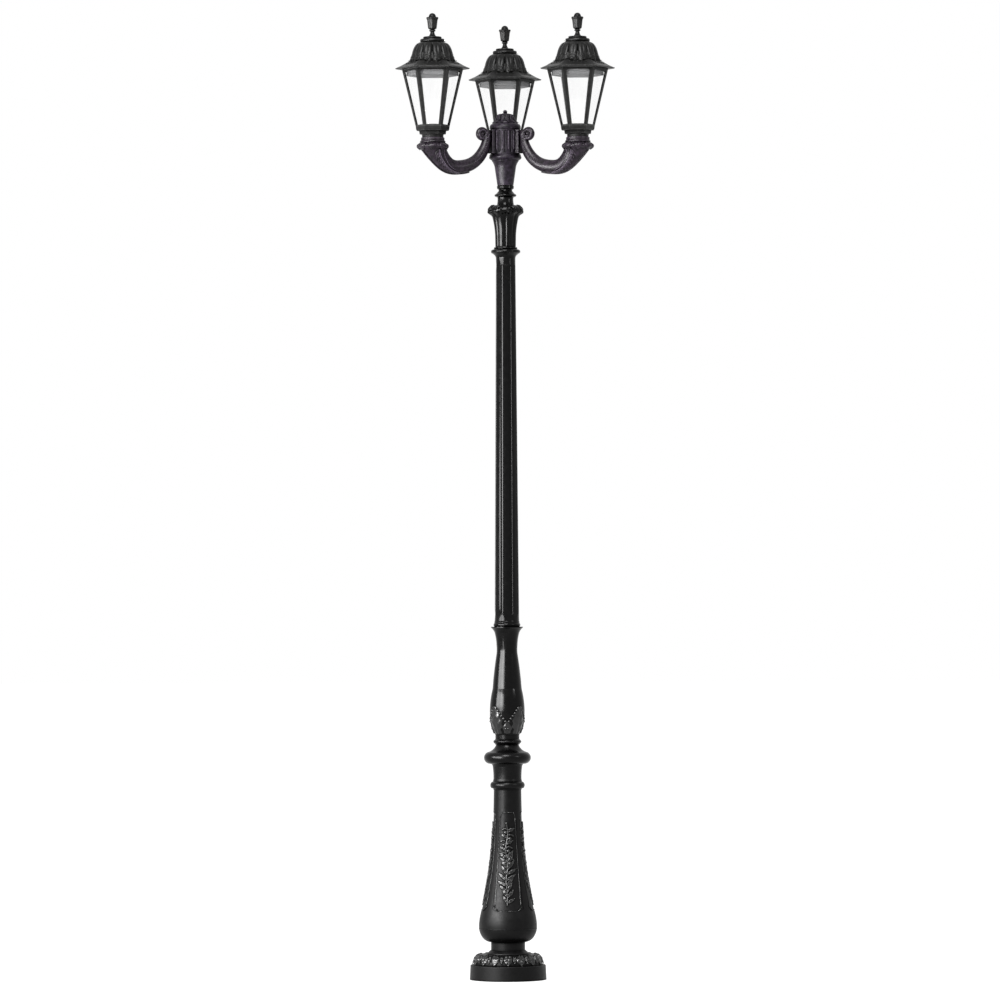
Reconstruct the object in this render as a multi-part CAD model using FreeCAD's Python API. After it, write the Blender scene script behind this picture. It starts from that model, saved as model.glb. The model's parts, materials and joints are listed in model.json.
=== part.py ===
import FreeCAD, Part
import math
import os

# A garden lamp post with three glazed lanterns on scrolled arms round a cast hub.
# Millimetres, +Z up, origin on the ground at the column's axis. The front faces -Y.

# Ground fixing and core
PLATE_R = 110.0
PLATE_T = 12.0
ANCHORS = 4
ANCHOR_PCD = 180.0
ANCHOR_HOLE_R = 7.0
CABLE_HOLE_R = 15.0
TUBE_R = 30.0
TUBE_WALL = 3.6
SLEEVE_GAP = 0.3          # between the core tube and the castings stacked round it

# Foot
DRUM_R = 132.5
DRUM_TOP_R = 130.5
DRUM_H = 51.0
DRUM_WALL = 8.0
LEAF_COLLAR_R = 119.0
LEAF_COLLAR_TOP_R = 99.0
LEAF_COLLAR_H = 36.0
FOOT_RING_R = 73.0
FOOT_RING_H = 14.0
FOOT_NECK_R = 58.8
FOOT_NECK_H = 78.0        # from the drum's deck to the pedestal's belly
NECK_GAP = 0.2

# Pedestal
BELLY_R = 100.0
BELLY_LOW_H = 47.0
BODY_H = 479.0            # from the belly's crease to the pedestal's top
PEDESTAL_TOP_R = 47.5
PEDESTAL_WALL = 8.0
PANELS = 4
PANEL_HALF_ANGLE = 37.0
PANEL_DEPTH = 1.1
CREASE_LINE_R = 1.8
PANEL_FOOT = 64.0         # from the crease to the panel's lower edge
PANEL_H = 338.0
PANEL_FOOT_HALF = 46.7
PANEL_TOP_HALF = 20.8

# Lower collar
COLLAR_RING_R = 59.0
COLLAR_RING_H = 31.0
COLLAR_NECK_R = 48.5
COLLAR_NECK_H = 45.0
BULGE_R = 81.0
BULGE_H = 80.0
UPPER_NECK_R = 41.5
BEAD_R = 48.5
BEAD_H = 34.0

# Baluster
BULB_R = 60.6
BULB_H = 83.0             # from its foot to the widest place
BALUSTER_WAIST_R = 36.4
BALUSTER_WAIST_H = 213.0  # from the widest place to the waist
BALUSTER_HEAD_H = 56.0
BALUSTER_RIM_R = 55.4
BALUSTER_RIM_H = 21.0

# Shaft
SHAFT_FOOT_R = 42.4
SHAFT_TOP_R = 33.8
SHAFT_TORUS_R = 46.5
SHAFT_TORUS_H = 21.0
SHAFT_H = 1274.0
FLUTES = 8
FLUTE_R = 7.0
FLUTE_DEPTH = 2.2
FLUTE_MARGIN = 26.0       # from each end of the taper to the flute's end

# Capital
ASTRAGAL_R = 51.0
ASTRAGAL_H = 40.0
CAPITAL_NECK_R = 34.5
CAPITAL_NECK_H = 104.0
COROLLA_R = 62.0
COROLLA_H = 42.0
COROLLA_LOBES = 8
SPOOL_R = 27.5
SPOOL_H = 29.0
SPOOL_FLANGE_R = 38.0
SPOOL_FLANGE_H = 16.5
SEAT_NECK_R = 23.6
SEAT_NECK_H = 9.0
SEAT_R = 29.3
SEAT_H = 14.0
SPIGOT_R = 18.0
SPIGOT_H = 40.0
TUBE_IN_CAPITAL = 105.0
WIRE_BORE_R = 12.0

# Hub
GOBLET_FOOT_R = 28.0
GOBLET_TOP_R = 46.0
GOBLET_H = 91.0
HUB_RING_R = 56.0
HUB_RING_H = 15.0
HUB_DRUM_R = 50.0
HUB_DRUM_H = 87.0
HUB_WALL = 9.0
HUB_FLAT = 47.4           # from the axis to each arm's flat
HUB_FLUTE_R = 5.0
HUB_FLUTE_DEPTH = 2.6
HUB_FLUTE_PITCH = 24.0
GRUB_R = 3.0
GRUB_L = 9.0
GRUB_ANGLES = (50.0, 130.0)
CAP_R = 54.0
CAP_FLANGE_H = 17.0
CAP_DOME_R = 32.0
CAP_H = 56.0
CAP_WALL = 5.0
CAP_LIP_H = 8.0
CAP_NUT_FOOT_R = 5.5
CAP_NUT_H = 12.0
ROD_R = 3.0
BRIDGE_W = 14.0
BRIDGE_T = 5.0
BLOCK_L = 40.0
BLOCK_W = 14.0
BLOCK_H = 26.0
BLOCK_Y = -24.0
BLOCK_WAYS = 3
BLOCK_SCREW_R = 2.2

# Arms
ARM_ANGLES = {"left": 210.0, "right": 330.0, "rear": 90.0}
REACH = 288.0
PAD_W = 30.0
PAD_T = 13.0
PAD_MARGIN = 3.0
ARM_TOP_R = 15.0
ARM_LOW_R = 23.0
ARM_WIDTH_SHARE = 0.88    # tangential width of the arm over its thickness
ARM_TOP_X = 73.0
ARM_TOP_DROP = 18.0       # below the hub drum's top
ARM_LOW_BACK = 101.0      # from the lantern's axis back to the arm's lowest place
ARM_LOW_FALL = 62.0       # from the flare's top down to the arm's lowest centre
# Back from the lantern's axis, down from the flare's top, heading and half thickness
ARM_FLARE = [(68, 60, 27, 26), (38, 42, 52, 31), (14, 17, 75, 39), (0, -2, 90, 47)]
SCROLL_R = 14.0
SCROLL_TUBE_R = 9.8
BOLT_R = 4.0
BOLT_HEAD_R = 6.5
BOLT_HEAD_H = 5.0
BOLT_PITCH = 42.0
BOLT_GRIP = 12.0

# Cup at the arm's end
CUP_DROP = 73.5           # from the hub drum's top down to where the arm's flare meets the leaf collar
CUP_LEAF_R = 52.0
CUP_LEAF_H = 16.0
CUP_RING_R = 42.5
CUP_RING_H = 18.0
CUP_LEAVES = 8
CUP_SOCKET_R = 32.3
CUP_SOCKET_H = 10.0

# Lantern
SOCKET_GAP = 0.3
BASE_NECK_R = 37.0
BASE_NECK_H = 12.0
BASE_STEP_R = 46.5
BASE_STEP_H = 12.0
BASE_R = 58.5
BASE_CUP_H = 16.0
BASE_WALL = 5.5
HOLDER_R = 35.0
HOLDER_H = 10.0
HOLDER_GAP = 0.4
LAMP_R = 37.5
LAMP_H = 21.0
LAMP_RISE = 0.5
LENS_RISE = 1.5
PIN_R = 2.2
PIN_PITCH = 53.0
PIN_L = 6.0
LAMP_TWIST = 15.0
NIPPLE_R = 5.0
NIPPLE_BORE_R = 3.2
NIPPLE_IN_CUP = 18.0
NUT_R = 9.0
NUT_H = 6.0
NUT_WELL_R = 12.0
NUT_WELL_H = 10.0
FRAME_H = 195.0
FRAME_TOP_R = 105.0
FRAME_WALL = 5.0
RIB_FOOT_W = 9.0
RIB_HEAD_W = 12.0
RAIL_LOW = 4.0
RAIL_TOP = 7.0
RAIL_FILLET = 6.0
PANE_T = 3.0
PANE_MARGIN = 2.0
PANE_LAP = 6.0
SEAL_T = 1.5
SEAL_W = 5.0
LID_GAP = 0.3             # between a lifting piece and what it rests on
EAVE_R = 128.0
EAVE_T = 3.5
SKIRT_H = 24.0
SKIRT_TOP_R = 80.0
SKIRT_KNEE_RISE = 0.36    # of the skirt's height
SKIRT_KNEE_SPREAD = 0.56  # of the skirt's flare
DOME_R = 80.0
DOME_H = 78.0
DOME_SINK = 14.0          # of the dome's foot below the skirt's top
DOME_TOP_R = 42.0
GADROONS = 12
GADROON_DEPTH = 0.07      # of the dome's radius, at the widest place
ROOF_WALL = 5.0
ROOF_COLLAR_R = 33.0
ROOF_COLLAR_H = 8.5
CEILING_T = 2.0
CEILING_DROP = 15.0       # below the windows' tops
CEILING_GAP = 1.0
FINIAL_RING_R = 42.5
FINIAL_RING_H = 12.0
FINIAL_STEP_R = 31.5
FINIAL_STEP_H = 8.0
FINIAL_STEM_R = 12.5
FINIAL_STEM_H = 21.0
FINIAL_VASE_R = 14.5
FINIAL_VASE_H = 45.5
FINIAL_BRIM_R = 21.0
FINIAL_TIP_R = 12.3
FINIAL_TIP_H = 14.5
FINIAL_BORE_GAP = 0.5
SCREW_R = 2.0
SCREW_FIT = 0.06
SCREW_HEAD_R = 3.2
SCREW_HEAD_L = 2.4
SCREW_OUT = 3.6
SCREW_ANGLES = {"left": 0.0, "right": 180.0, "rear": 0.0}

# Heights of the stacked pieces
DECK_Z = DRUM_H
PEDESTAL_BELLY_Z = DECK_Z + FOOT_NECK_H
CREASE_Z = PEDESTAL_BELLY_Z + BELLY_LOW_H
COLLAR_Z = CREASE_Z + BODY_H
BALUSTER_Z = COLLAR_Z + COLLAR_RING_H + COLLAR_NECK_H + BULGE_H + BEAD_H
SHAFT_Z = BALUSTER_Z + BULB_H + BALUSTER_WAIST_H + BALUSTER_HEAD_H + BALUSTER_RIM_H
CAPITAL_Z = SHAFT_Z + SHAFT_H
HUB_Z = (CAPITAL_Z + ASTRAGAL_H + CAPITAL_NECK_H + COROLLA_H
         + SPOOL_H + SPOOL_FLANGE_H + SEAT_NECK_H + SEAT_H)
HUB_DRUM_Z = HUB_Z + GOBLET_H + HUB_RING_H
HUB_TOP_Z = HUB_DRUM_Z + HUB_DRUM_H
CHAMBER_R = HUB_DRUM_R - HUB_WALL
CHAMBER_Z = HUB_DRUM_Z + 4.0
CHAMBER_FLAT = math.sqrt(CHAMBER_R ** 2 - BOLT_HEAD_R ** 2)
SLEEVE_R = TUBE_R + SLEEVE_GAP
CUP_Z = HUB_TOP_Z - CUP_DROP
BASE_Z = CUP_Z + CUP_LEAF_H + CUP_RING_H
HOLDER_Z = BASE_Z + BASE_NECK_H + 4.0
FRAME_Z = BASE_Z + BASE_NECK_H + BASE_STEP_H + BASE_CUP_H
EAVE_Z = FRAME_Z + FRAME_H + SEAL_T + LID_GAP
DOME_Z = EAVE_Z + EAVE_T + SKIRT_H - DOME_SINK
FINIAL_Z = DOME_Z + DOME_H
HEX_APOTHEM = math.cos(math.radians(30))

UP = FreeCAD.Vector(0, 0, 1)
ORIGIN = FreeCAD.Vector(0, 0, 0)


def polar(radius, degrees, z=0.0):
    angle = math.radians(degrees)
    return FreeCAD.Vector(radius * math.cos(angle), radius * math.sin(angle), z)


def outline(points):
    """Closed outline in the radius-height plane. A point (r, z, sag) is reached by an arc bowed
    sag to the right of its travel, and (r, z) by a straight line."""
    edges = []
    for here, there in zip(points, points[1:] + points[:1]):
        start = FreeCAD.Vector(here[0], 0, here[1])
        end = FreeCAD.Vector(there[0], 0, there[1])
        if (end - start).Length < 1e-6:
            continue
        if len(there) == 3:
            chord = (end - start).normalize()
            right = FreeCAD.Vector(chord.z, 0, -chord.x)
            middle = (start + end) * 0.5 + right * there[2]
            edges.append(Part.Arc(start, middle, end).toShape())
        else:
            edges.append(Part.LineSegment(start, end).toShape())
    return Part.Face(Part.Wire(edges))


def crown_sag(radius, rise):
    """Bow of an arc that ends on the axis and sweeps a spherical crown when turned."""
    ball = (radius ** 2 + rise ** 2) / (2 * rise)
    return ball - math.sqrt(ball ** 2 - (radius ** 2 + rise ** 2) / 4)


def turned(points):
    """Solid of revolution about the column's axis."""
    return outline(points).revolve(ORIGIN, UP, 360)


def raised(points, z):
    """The outline's points, lifted by z."""
    return [(p[0], p[1] + z) + tuple(p[2:]) for p in points]


def cylinder(radius, z_low, z_high, x=0.0, y=0.0):
    return Part.makeCylinder(radius, z_high - z_low, FreeCAD.Vector(x, y, z_low), UP)


def spun(shape, degrees):
    copy = shape.copy()
    copy.rotate(ORIGIN, UP, degrees)
    return copy


def ring_of(shape, count, first=0.0):
    """Copies of a shape, evenly spaced about the column's axis."""
    return [spun(shape, first + 360.0 * k / count) for k in range(count)]


def hexagon(radius, z):
    """Hexagonal wire with corners at +X and -X."""
    corners = [polar(radius, 60 * k, z) for k in range(6)]
    return Part.makePolygon(corners + corners[:1])


def hex_frustum(low_r, low_z, high_r, high_z):
    return Part.makeLoft([hexagon(low_r, low_z), hexagon(high_r, high_z)], True, True)


def plate_outline(points, y):
    """Polygonal face in the plane of that y, from (x, z) corners."""
    corners = [FreeCAD.Vector(x, y, z) for x, z in points]
    return Part.Face(Part.makePolygon(corners + corners[:1]))


def capsule(low, high, radius):
    """Round bar between two points, with round ends."""
    axis = high - low
    bar = Part.makeCylinder(radius, axis.Length, low, axis)
    return bar.fuse([Part.makeSphere(radius, low), Part.makeSphere(radius, high)])


def radial_bar(radius, r_low, r_high, z, degrees=0.0):
    """Round bar that lies along a radius of the column."""
    return Part.makeCylinder(radius, r_high - r_low, polar(r_low, degrees, z), polar(1, degrees))


# Column


def base_plate():
    plate = cylinder(PLATE_R, 0, PLATE_T)
    holes = [cylinder(CABLE_HOLE_R, -1, PLATE_T + 1)]
    anchor = cylinder(ANCHOR_HOLE_R, -1, PLATE_T + 1, ANCHOR_PCD / 2)
    return plate.cut(holes + ring_of(anchor, ANCHORS, 45.0))


def core_tube():
    top = CAPITAL_Z + TUBE_IN_CAPITAL
    return cylinder(TUBE_R, PLATE_T, top).cut(cylinder(TUBE_R - TUBE_WALL, PLATE_T - 1, top + 1))


def foot_drum():
    """Round plinth, open below, with a flat deck that the pedestal stands on."""
    inner = DRUM_R - DRUM_WALL
    return turned([
        (inner, 0), (DRUM_R, 0), (DRUM_TOP_R, DECK_Z - 4), (DRUM_TOP_R - 3, DECK_Z, 0.9),
        (SLEEVE_R, DECK_Z), (SLEEVE_R, DECK_Z - DRUM_WALL), (inner - 4, DECK_Z - DRUM_WALL),
        (inner, DECK_Z - DRUM_WALL - 4, 1.2),
    ])


def leaf_collar():
    """Rounded shoulder and slanted ring that hide the joint round the pedestal's neck."""
    bore = FOOT_NECK_R + NECK_GAP
    top = DECK_Z + LEAF_COLLAR_H
    return turned([
        (bore, DECK_Z), (LEAF_COLLAR_R, DECK_Z), (LEAF_COLLAR_R, DECK_Z + 5),
        (LEAF_COLLAR_TOP_R, top, 5.0), (FOOT_RING_R + 4, top - 3, 2.0), (FOOT_RING_R, top),
        (FOOT_RING_R - 4, top + FOOT_RING_H / 2, 1.5), (bore + 2, top + FOOT_RING_H),
        (bore, top + FOOT_RING_H),
    ])


def body_radius_points(inset):
    """The pedestal's side, from the crease to its top, moved in by inset."""
    drop = BELLY_R - PEDESTAL_TOP_R
    shares = [
        (0.0, 1.0), (0.045, 0.995), (0.16, 0.78), (0.29, 0.54), (0.45, 0.3),
        (0.63, 0.125), (0.82, 0.035), (1, 0),
    ]
    return [
        FreeCAD.Vector(PEDESTAL_TOP_R + drop * share - inset, 0, CREASE_Z + BODY_H * height)
        for height, share in shares
    ]


def body_side(inset):
    curve = Part.BSplineCurve()
    curve.interpolate(body_radius_points(inset))
    return curve.toShape()


def body_band(outset, inset):
    """Ring-shaped solid that follows the pedestal's side, between two offsets of it."""
    outer = body_side(-outset)
    inner = body_side(inset)
    low = Part.LineSegment(inner.Vertexes[0].Point, outer.Vertexes[0].Point).toShape()
    high = Part.LineSegment(outer.Vertexes[-1].Point, inner.Vertexes[-1].Point).toShape()
    return Part.Face(Part.Wire([low, outer, high, inner]))


def panel_recesses():
    """One shallow recess per panel, with chamfered corners, that follows the curved side."""
    band = body_band(6.0, PANEL_DEPTH).revolve(ORIGIN, UP, 2 * PANEL_HALF_ANGLE)
    band = spun(band, -90 - PANEL_HALF_ANGLE)
    low = CREASE_Z + PANEL_FOOT
    high = low + PANEL_H
    wide = BELLY_R
    chamfer_low = wide - PANEL_FOOT_HALF
    chamfer_high = 3 * (wide - PANEL_TOP_HALF)
    frame = plate_outline([
        (-PANEL_FOOT_HALF, low), (PANEL_FOOT_HALF, low), (wide, low + chamfer_low),
        (wide, high - chamfer_high), (PANEL_TOP_HALF, high), (-PANEL_TOP_HALF, high),
        (-wide, high - chamfer_high), (-wide, low + chamfer_low),
    ], 0)
    window = frame.extrude(FreeCAD.Vector(0, -2 * BELLY_R, 0))
    return ring_of(band.common(window), PANELS)


def pedestal():
    """Hollow body that swells to a belly near its foot, with a panel sunk in each side."""
    side = body_side(0)
    foot = side.Vertexes[0].Point
    head = side.Vertexes[-1].Point
    cavity_foot = FreeCAD.Vector(SLEEVE_R, 0, DECK_Z)
    stops = [
        head, FreeCAD.Vector(SLEEVE_R, 0, head.z), cavity_foot,
        FreeCAD.Vector(FOOT_NECK_R, 0, DECK_Z), FreeCAD.Vector(FOOT_NECK_R, 0, PEDESTAL_BELLY_Z),
    ]
    edges = [side] + [Part.LineSegment(a, b).toShape() for a, b in zip(stops, stops[1:])]
    neck_top = stops[-1]
    haunch = FreeCAD.Vector(BELLY_R - 16, 0, neck_top.z + 11)
    hip = FreeCAD.Vector(BELLY_R - 7, 0, neck_top.z + 0.5 * BELLY_LOW_H)
    flank = FreeCAD.Vector(BELLY_R - 2, 0, neck_top.z + 0.75 * BELLY_LOW_H)
    edges.append(Part.Arc(neck_top, haunch, hip).toShape())
    edges.append(Part.Arc(hip, flank, foot).toShape())
    body = Part.Face(Part.Wire(Part.__sortEdges__(edges))).revolve(ORIGIN, UP, 360)
    low_z = PEDESTAL_BELLY_Z + 24
    wide = BELLY_R - PEDESTAL_WALL
    cavity = turned([
        (SLEEVE_R - 1, low_z), (wide - 14, low_z), (wide, CREASE_Z, 3), (wide - 4, CREASE_Z + 0.1 * BODY_H),
        (PEDESTAL_TOP_R - PEDESTAL_WALL + 8, CREASE_Z + 0.5 * BODY_H, -7),
        (SLEEVE_R - 1, CREASE_Z + 0.7 * BODY_H),
    ])
    crease = Part.makeTorus(BELLY_R - CREASE_LINE_R / 3, CREASE_LINE_R, polar(0, 0, CREASE_Z), UP)
    return body.fuse(crease).cut([cavity] + panel_recesses())


def sleeve(side):
    """Turned casting with that side, bored to slip over the core tube."""
    return turned([(SLEEVE_R, side[0][1])] + side + [(SLEEVE_R, side[-1][1])])


def lower_collar():
    """Ring, neck, ogee bulge and bead between the pedestal and the baluster."""
    ring = COLLAR_RING_H
    neck = ring + COLLAR_NECK_H
    bulge = neck + BULGE_H
    return sleeve(raised([
        (COLLAR_NECK_R, 0), (COLLAR_NECK_R + 1, 4), (COLLAR_RING_R - 3, 6),
        (COLLAR_RING_R - 3, 25, 3.6), (COLLAR_NECK_R + 1.5, ring - 2), (COLLAR_NECK_R + 1.5, ring),
        (COLLAR_NECK_R, ring + 6), (COLLAR_NECK_R + 2, neck, -0.8), (BULGE_R - 25, neck + 14, -1.5),
        (BULGE_R - 17, neck + 55, 21), (UPPER_NECK_R - 2, bulge - 2, -3.5), (UPPER_NECK_R, bulge),
        (BEAD_R - 3, bulge + 5), (BEAD_R - 3, bulge + 15, 3.0), (UPPER_NECK_R, bulge + 19),
        (UPPER_NECK_R, bulge + BEAD_H),
    ], COLLAR_Z))


def baluster():
    """Vase with a low bulb, a slender waist and a sharp flat-topped rim."""
    waist = BULB_H + BALUSTER_WAIST_H
    head = waist + BALUSTER_HEAD_H
    foot_r = UPPER_NECK_R + 1.0
    shoulder_r = BULB_R - 10
    return sleeve(raised([
        (foot_r, 0), (BULB_R, BULB_H, 4.5), (shoulder_r, BULB_H + 76, 2.2),
        (BALUSTER_WAIST_R, waist - 16, 1.2), (BALUSTER_WAIST_R, waist + 14, -0.8),
        (foot_r, head, -1.2), (BALUSTER_RIM_R, head + BALUSTER_RIM_H - 3, -1.5),
        (BALUSTER_RIM_R, head + BALUSTER_RIM_H),
    ], BALUSTER_Z))


def shaft():
    """Tapering shaft on a torus, with shallow round-ended flutes."""
    body = sleeve(raised([
        (SHAFT_TORUS_R - 3, 0), (SHAFT_TORUS_R - 3, 13, 3), (SHAFT_FOOT_R + 1.2, 17),
        (SHAFT_FOOT_R, SHAFT_TORUS_H), (SHAFT_TOP_R, SHAFT_H),
    ], SHAFT_Z))
    taper = (SHAFT_FOOT_R - SHAFT_TOP_R) / (SHAFT_H - SHAFT_TORUS_H)
    low = SHAFT_TORUS_H + FLUTE_MARGIN
    high = SHAFT_H - FLUTE_MARGIN
    lift = FLUTE_R - FLUTE_DEPTH
    low_r = SHAFT_FOOT_R - taper * (low - SHAFT_TORUS_H) + lift
    high_r = SHAFT_FOOT_R - taper * (high - SHAFT_TORUS_H) + lift
    flute = capsule(polar(low_r, 0, SHAFT_Z + low), polar(high_r, 0, SHAFT_Z + high), FLUTE_R)
    return body.cut(ring_of(flute, FLUTES, 180.0 / FLUTES + 90))


def capital():
    """Astragal, bell and lobed corolla, then the spool and seat that carry the hub."""
    bell = ASTRAGAL_H + CAPITAL_NECK_H
    spool = bell + COROLLA_H
    flange = spool + SPOOL_H
    seat_neck = flange + SPOOL_FLANGE_H
    seat = seat_neck + SEAT_NECK_H
    top = seat + SEAT_H
    body = turned(raised([
        (WIRE_BORE_R, TUBE_IN_CAPITAL), (SLEEVE_R, TUBE_IN_CAPITAL), (SLEEVE_R, 0), (SHAFT_TOP_R, 0),
        (ASTRAGAL_R - 10, 14, -2), (ASTRAGAL_R - 6, 17.5), (ASTRAGAL_R - 6, 31.5, 6.0), (ASTRAGAL_R - 11, 33),
        (ASTRAGAL_R - 11, ASTRAGAL_H - 1, 0.8), (CAPITAL_NECK_R, ASTRAGAL_H),
        (CAPITAL_NECK_R + 0.5, ASTRAGAL_H + 42), (COROLLA_R - 18, bell, -1.6),
        (COROLLA_R - 13.5, bell + 7, -0.5), (COROLLA_R - 1.4, bell + 14, -1.2),
        (COROLLA_R - 2, bell + 28, 1.7), (COROLLA_R - 7, bell + 34, 0.8),
        (COROLLA_R - 18, spool - 2, 1.5), (SPOOL_R + 2, spool), (SPOOL_R, flange - 3, -1.0),
        (SPOOL_FLANGE_R - 3, flange), (SPOOL_FLANGE_R - 3, flange + 8, 3.0),
        (SEAT_NECK_R + 3, seat_neck, -0.6), (SEAT_NECK_R, seat_neck + 5, -0.6), (SEAT_R - 3, seat, -1.5),
        (SEAT_R, seat + 3), (SEAT_R, top - 3),
        (SEAT_R - 3, top), (SPIGOT_R, top), (SPIGOT_R, top + SPIGOT_H), (WIRE_BORE_R, top + SPIGOT_H),
    ], CAPITAL_Z))
    notch = Part.makeTorus(22, 5, polar(COROLLA_R + 16, 0, CAPITAL_Z + bell + 21), FreeCAD.Vector(0, 1, 0))
    return body.cut(ring_of(notch, COROLLA_LOBES, 180.0 / COROLLA_LOBES + 90))


# Hub


def hub_flats():
    """Blocks that cut the drum flat where the arms sit."""
    depth = HUB_DRUM_R
    block = Part.makeBox(
        depth, PAD_W + 2.0, HUB_DRUM_H - 2 * PAD_MARGIN + 2.0,
        FreeCAD.Vector(HUB_FLAT, -PAD_W / 2 - 1.0, HUB_DRUM_Z + PAD_MARGIN - 1.0))
    return [spun(block, angle) for angle in ARM_ANGLES.values()]


def hub_flutes():
    """Three round-ended flutes in each open side of the drum, between the flats."""
    margin = HUB_FLUTE_R + 4.0
    reach = HUB_DRUM_R + HUB_FLUTE_R - HUB_FLUTE_DEPTH
    flute = capsule(
        polar(reach, 0, HUB_DRUM_Z + margin), polar(reach, 0, HUB_TOP_Z - margin), HUB_FLUTE_R)
    return [
        spun(flute, arm + 60.0 + step * HUB_FLUTE_PITCH)
        for arm in ARM_ANGLES.values()
        for step in (-1, 0, 1)
    ]


def arm_bolt_heights():
    middle = HUB_DRUM_Z + HUB_DRUM_H / 2
    return [middle - BOLT_PITCH / 2, middle + BOLT_PITCH / 2]


def hub_body():
    """Goblet, moulding ring and fluted drum, bored below for the spigot and open above."""
    ring = GOBLET_H
    drum = ring + HUB_RING_H
    top = drum + HUB_DRUM_H
    body = turned(raised([
        (SPIGOT_R, 0), (GOBLET_FOOT_R, 0), (GOBLET_TOP_R - 9.5, ring - 32), (GOBLET_TOP_R, ring - 8, -1.8),
        (HUB_RING_R - 6, ring - 3, -1), (HUB_RING_R - 2, ring), (HUB_RING_R - 2, drum - 5, 2.0),
        (HUB_DRUM_R + 1.5, drum), (HUB_DRUM_R, drum), (HUB_DRUM_R, top), (CHAMBER_R, top),
        (CHAMBER_R, drum + 4), (WIRE_BORE_R, drum + 4), (WIRE_BORE_R, SPIGOT_H), (SPIGOT_R, SPIGOT_H),
    ], HUB_Z))
    bolts = [
        radial_bar(BOLT_R, CHAMBER_R - 2, HUB_DRUM_R + 2, z, angle)
        for angle in ARM_ANGLES.values()
        for z in arm_bolt_heights()
    ]
    grubs = [radial_bar(GRUB_R, SPIGOT_R - 1, GOBLET_TOP_R, HUB_Z + SPIGOT_H / 2, a) for a in GRUB_ANGLES]
    return body.cut(hub_flats() + hub_flutes() + bolts + grubs)


def hub_grub_screws():
    screws = [radial_bar(GRUB_R, SPIGOT_R, SPIGOT_R + GRUB_L, HUB_Z + SPIGOT_H / 2, a) for a in GRUB_ANGLES]
    return Part.makeCompound(screws)


def cap_rod():
    """Bridge bar across the chamber's floor, with the rod that the cap nut screws on."""
    length = 2 * (CHAMBER_R - 12)
    bar = Part.makeBox(length, BRIDGE_W, BRIDGE_T, FreeCAD.Vector(-length / 2, -BRIDGE_W / 2, CHAMBER_Z))
    rod = cylinder(ROD_R, CHAMBER_Z + BRIDGE_T - 1, HUB_TOP_Z + CAP_H + CAP_NUT_H / 2)
    return bar.fuse(rod)


def block_screw_places():
    pitch = BLOCK_L / BLOCK_WAYS
    return [(pitch * (k - (BLOCK_WAYS - 1) / 2), BLOCK_Y + side * BLOCK_W / 4)
            for k in range(BLOCK_WAYS) for side in (-1, 1)]


def terminal_block():
    block = Part.makeBox(
        BLOCK_L, BLOCK_W, BLOCK_H, FreeCAD.Vector(-BLOCK_L / 2, BLOCK_Y - BLOCK_W / 2, CHAMBER_Z))
    top = CHAMBER_Z + BLOCK_H
    return block.cut([cylinder(BLOCK_SCREW_R, top - 9, top + 1, x, y) for x, y in block_screw_places()])


def terminal_screws():
    top = CHAMBER_Z + BLOCK_H
    screws = [cylinder(BLOCK_SCREW_R, top - 9, top - 2, x, y) for x, y in block_screw_places()]
    return Part.makeCompound(screws)


def hub_cap():
    """Flanged domed lid with a lip that drops into the drum."""
    z = HUB_TOP_Z + LID_GAP
    flange = CAP_FLANGE_H
    lip_r = CHAMBER_R - LID_GAP
    inner = CAP_DOME_R - CAP_WALL
    hole = ROD_R + LID_GAP
    return turned(raised([
        (lip_r - 3, -CAP_LIP_H), (lip_r, -CAP_LIP_H), (lip_r, 0), (CAP_R - 2, 0), (CAP_R, 3), (CAP_R, 8),
        (CAP_R - 4, flange, 1.0), (CAP_R - 9, flange + 2.6), (CAP_R - 12, flange + 5),
        (CAP_R - 13, flange + 9),
        (CAP_DOME_R + 1, flange + 13), (CAP_DOME_R, flange + 16), (CAP_DOME_R - 6, CAP_H - 6, 0.5),
        (CAP_DOME_R - 9, CAP_H - 3, 0.5), (8, CAP_H), (hole, CAP_H), (hole, CAP_H - CAP_WALL),
        (inner - 7, CAP_H - CAP_WALL - 4), (inner, flange + 12), (lip_r - 3, flange - CAP_WALL),
    ], z))


def cap_nut():
    """Ball knob, bored with room for the rod, that holds the cap down."""
    bore = ROD_R + LID_GAP
    bore_top = CAP_NUT_H - 4
    return turned(raised([
        (bore, 0), (CAP_NUT_FOOT_R, 0), (0, CAP_NUT_H, crown_sag(CAP_NUT_FOOT_R, CAP_NUT_H)),
        (0, bore_top), (bore, bore_top),
    ], HUB_TOP_Z + LID_GAP + CAP_H))


# Arms, drawn along +X and turned to their places


def arm_sections():
    """Centre (x, z), heading above the horizontal, and half thickness of each arm section."""
    top_z = HUB_TOP_Z - ARM_TOP_DROP
    low_x = REACH - ARM_LOW_BACK
    low_z = CUP_Z - ARM_LOW_FALL
    half_span = low_x - ARM_TOP_X
    sections = []
    for k in range(5):
        turn = math.radians(22.5 * k)
        x = low_x - half_span * math.cos(turn)
        z = top_z - (top_z - low_z) * math.sin(turn)
        thick = ARM_TOP_R + (ARM_LOW_R - ARM_TOP_R) * math.sin(turn)
        sections.append((x, z, 22.5 * k - 90.0, thick))
    for back, below, heading, thick in ARM_FLARE:
        sections.append((REACH - back, CUP_Z - below, heading, thick))
    return sections


def oval(x, z, heading, thick):
    """Elliptical wire square to its heading, in the plane of the arm."""
    centre = FreeCAD.Vector(x, 0, z)
    along = math.radians(heading)
    across = FreeCAD.Vector(-math.sin(along), 0, math.cos(along))
    major = centre + across * thick
    side = centre + FreeCAD.Vector(0, thick * ARM_WIDTH_SHARE, 0)
    if heading == 90:
        return Part.Wire(Part.Circle(centre, UP, thick).toShape())
    return Part.Wire(Part.Ellipse(major, side, centre).toShape())


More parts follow.
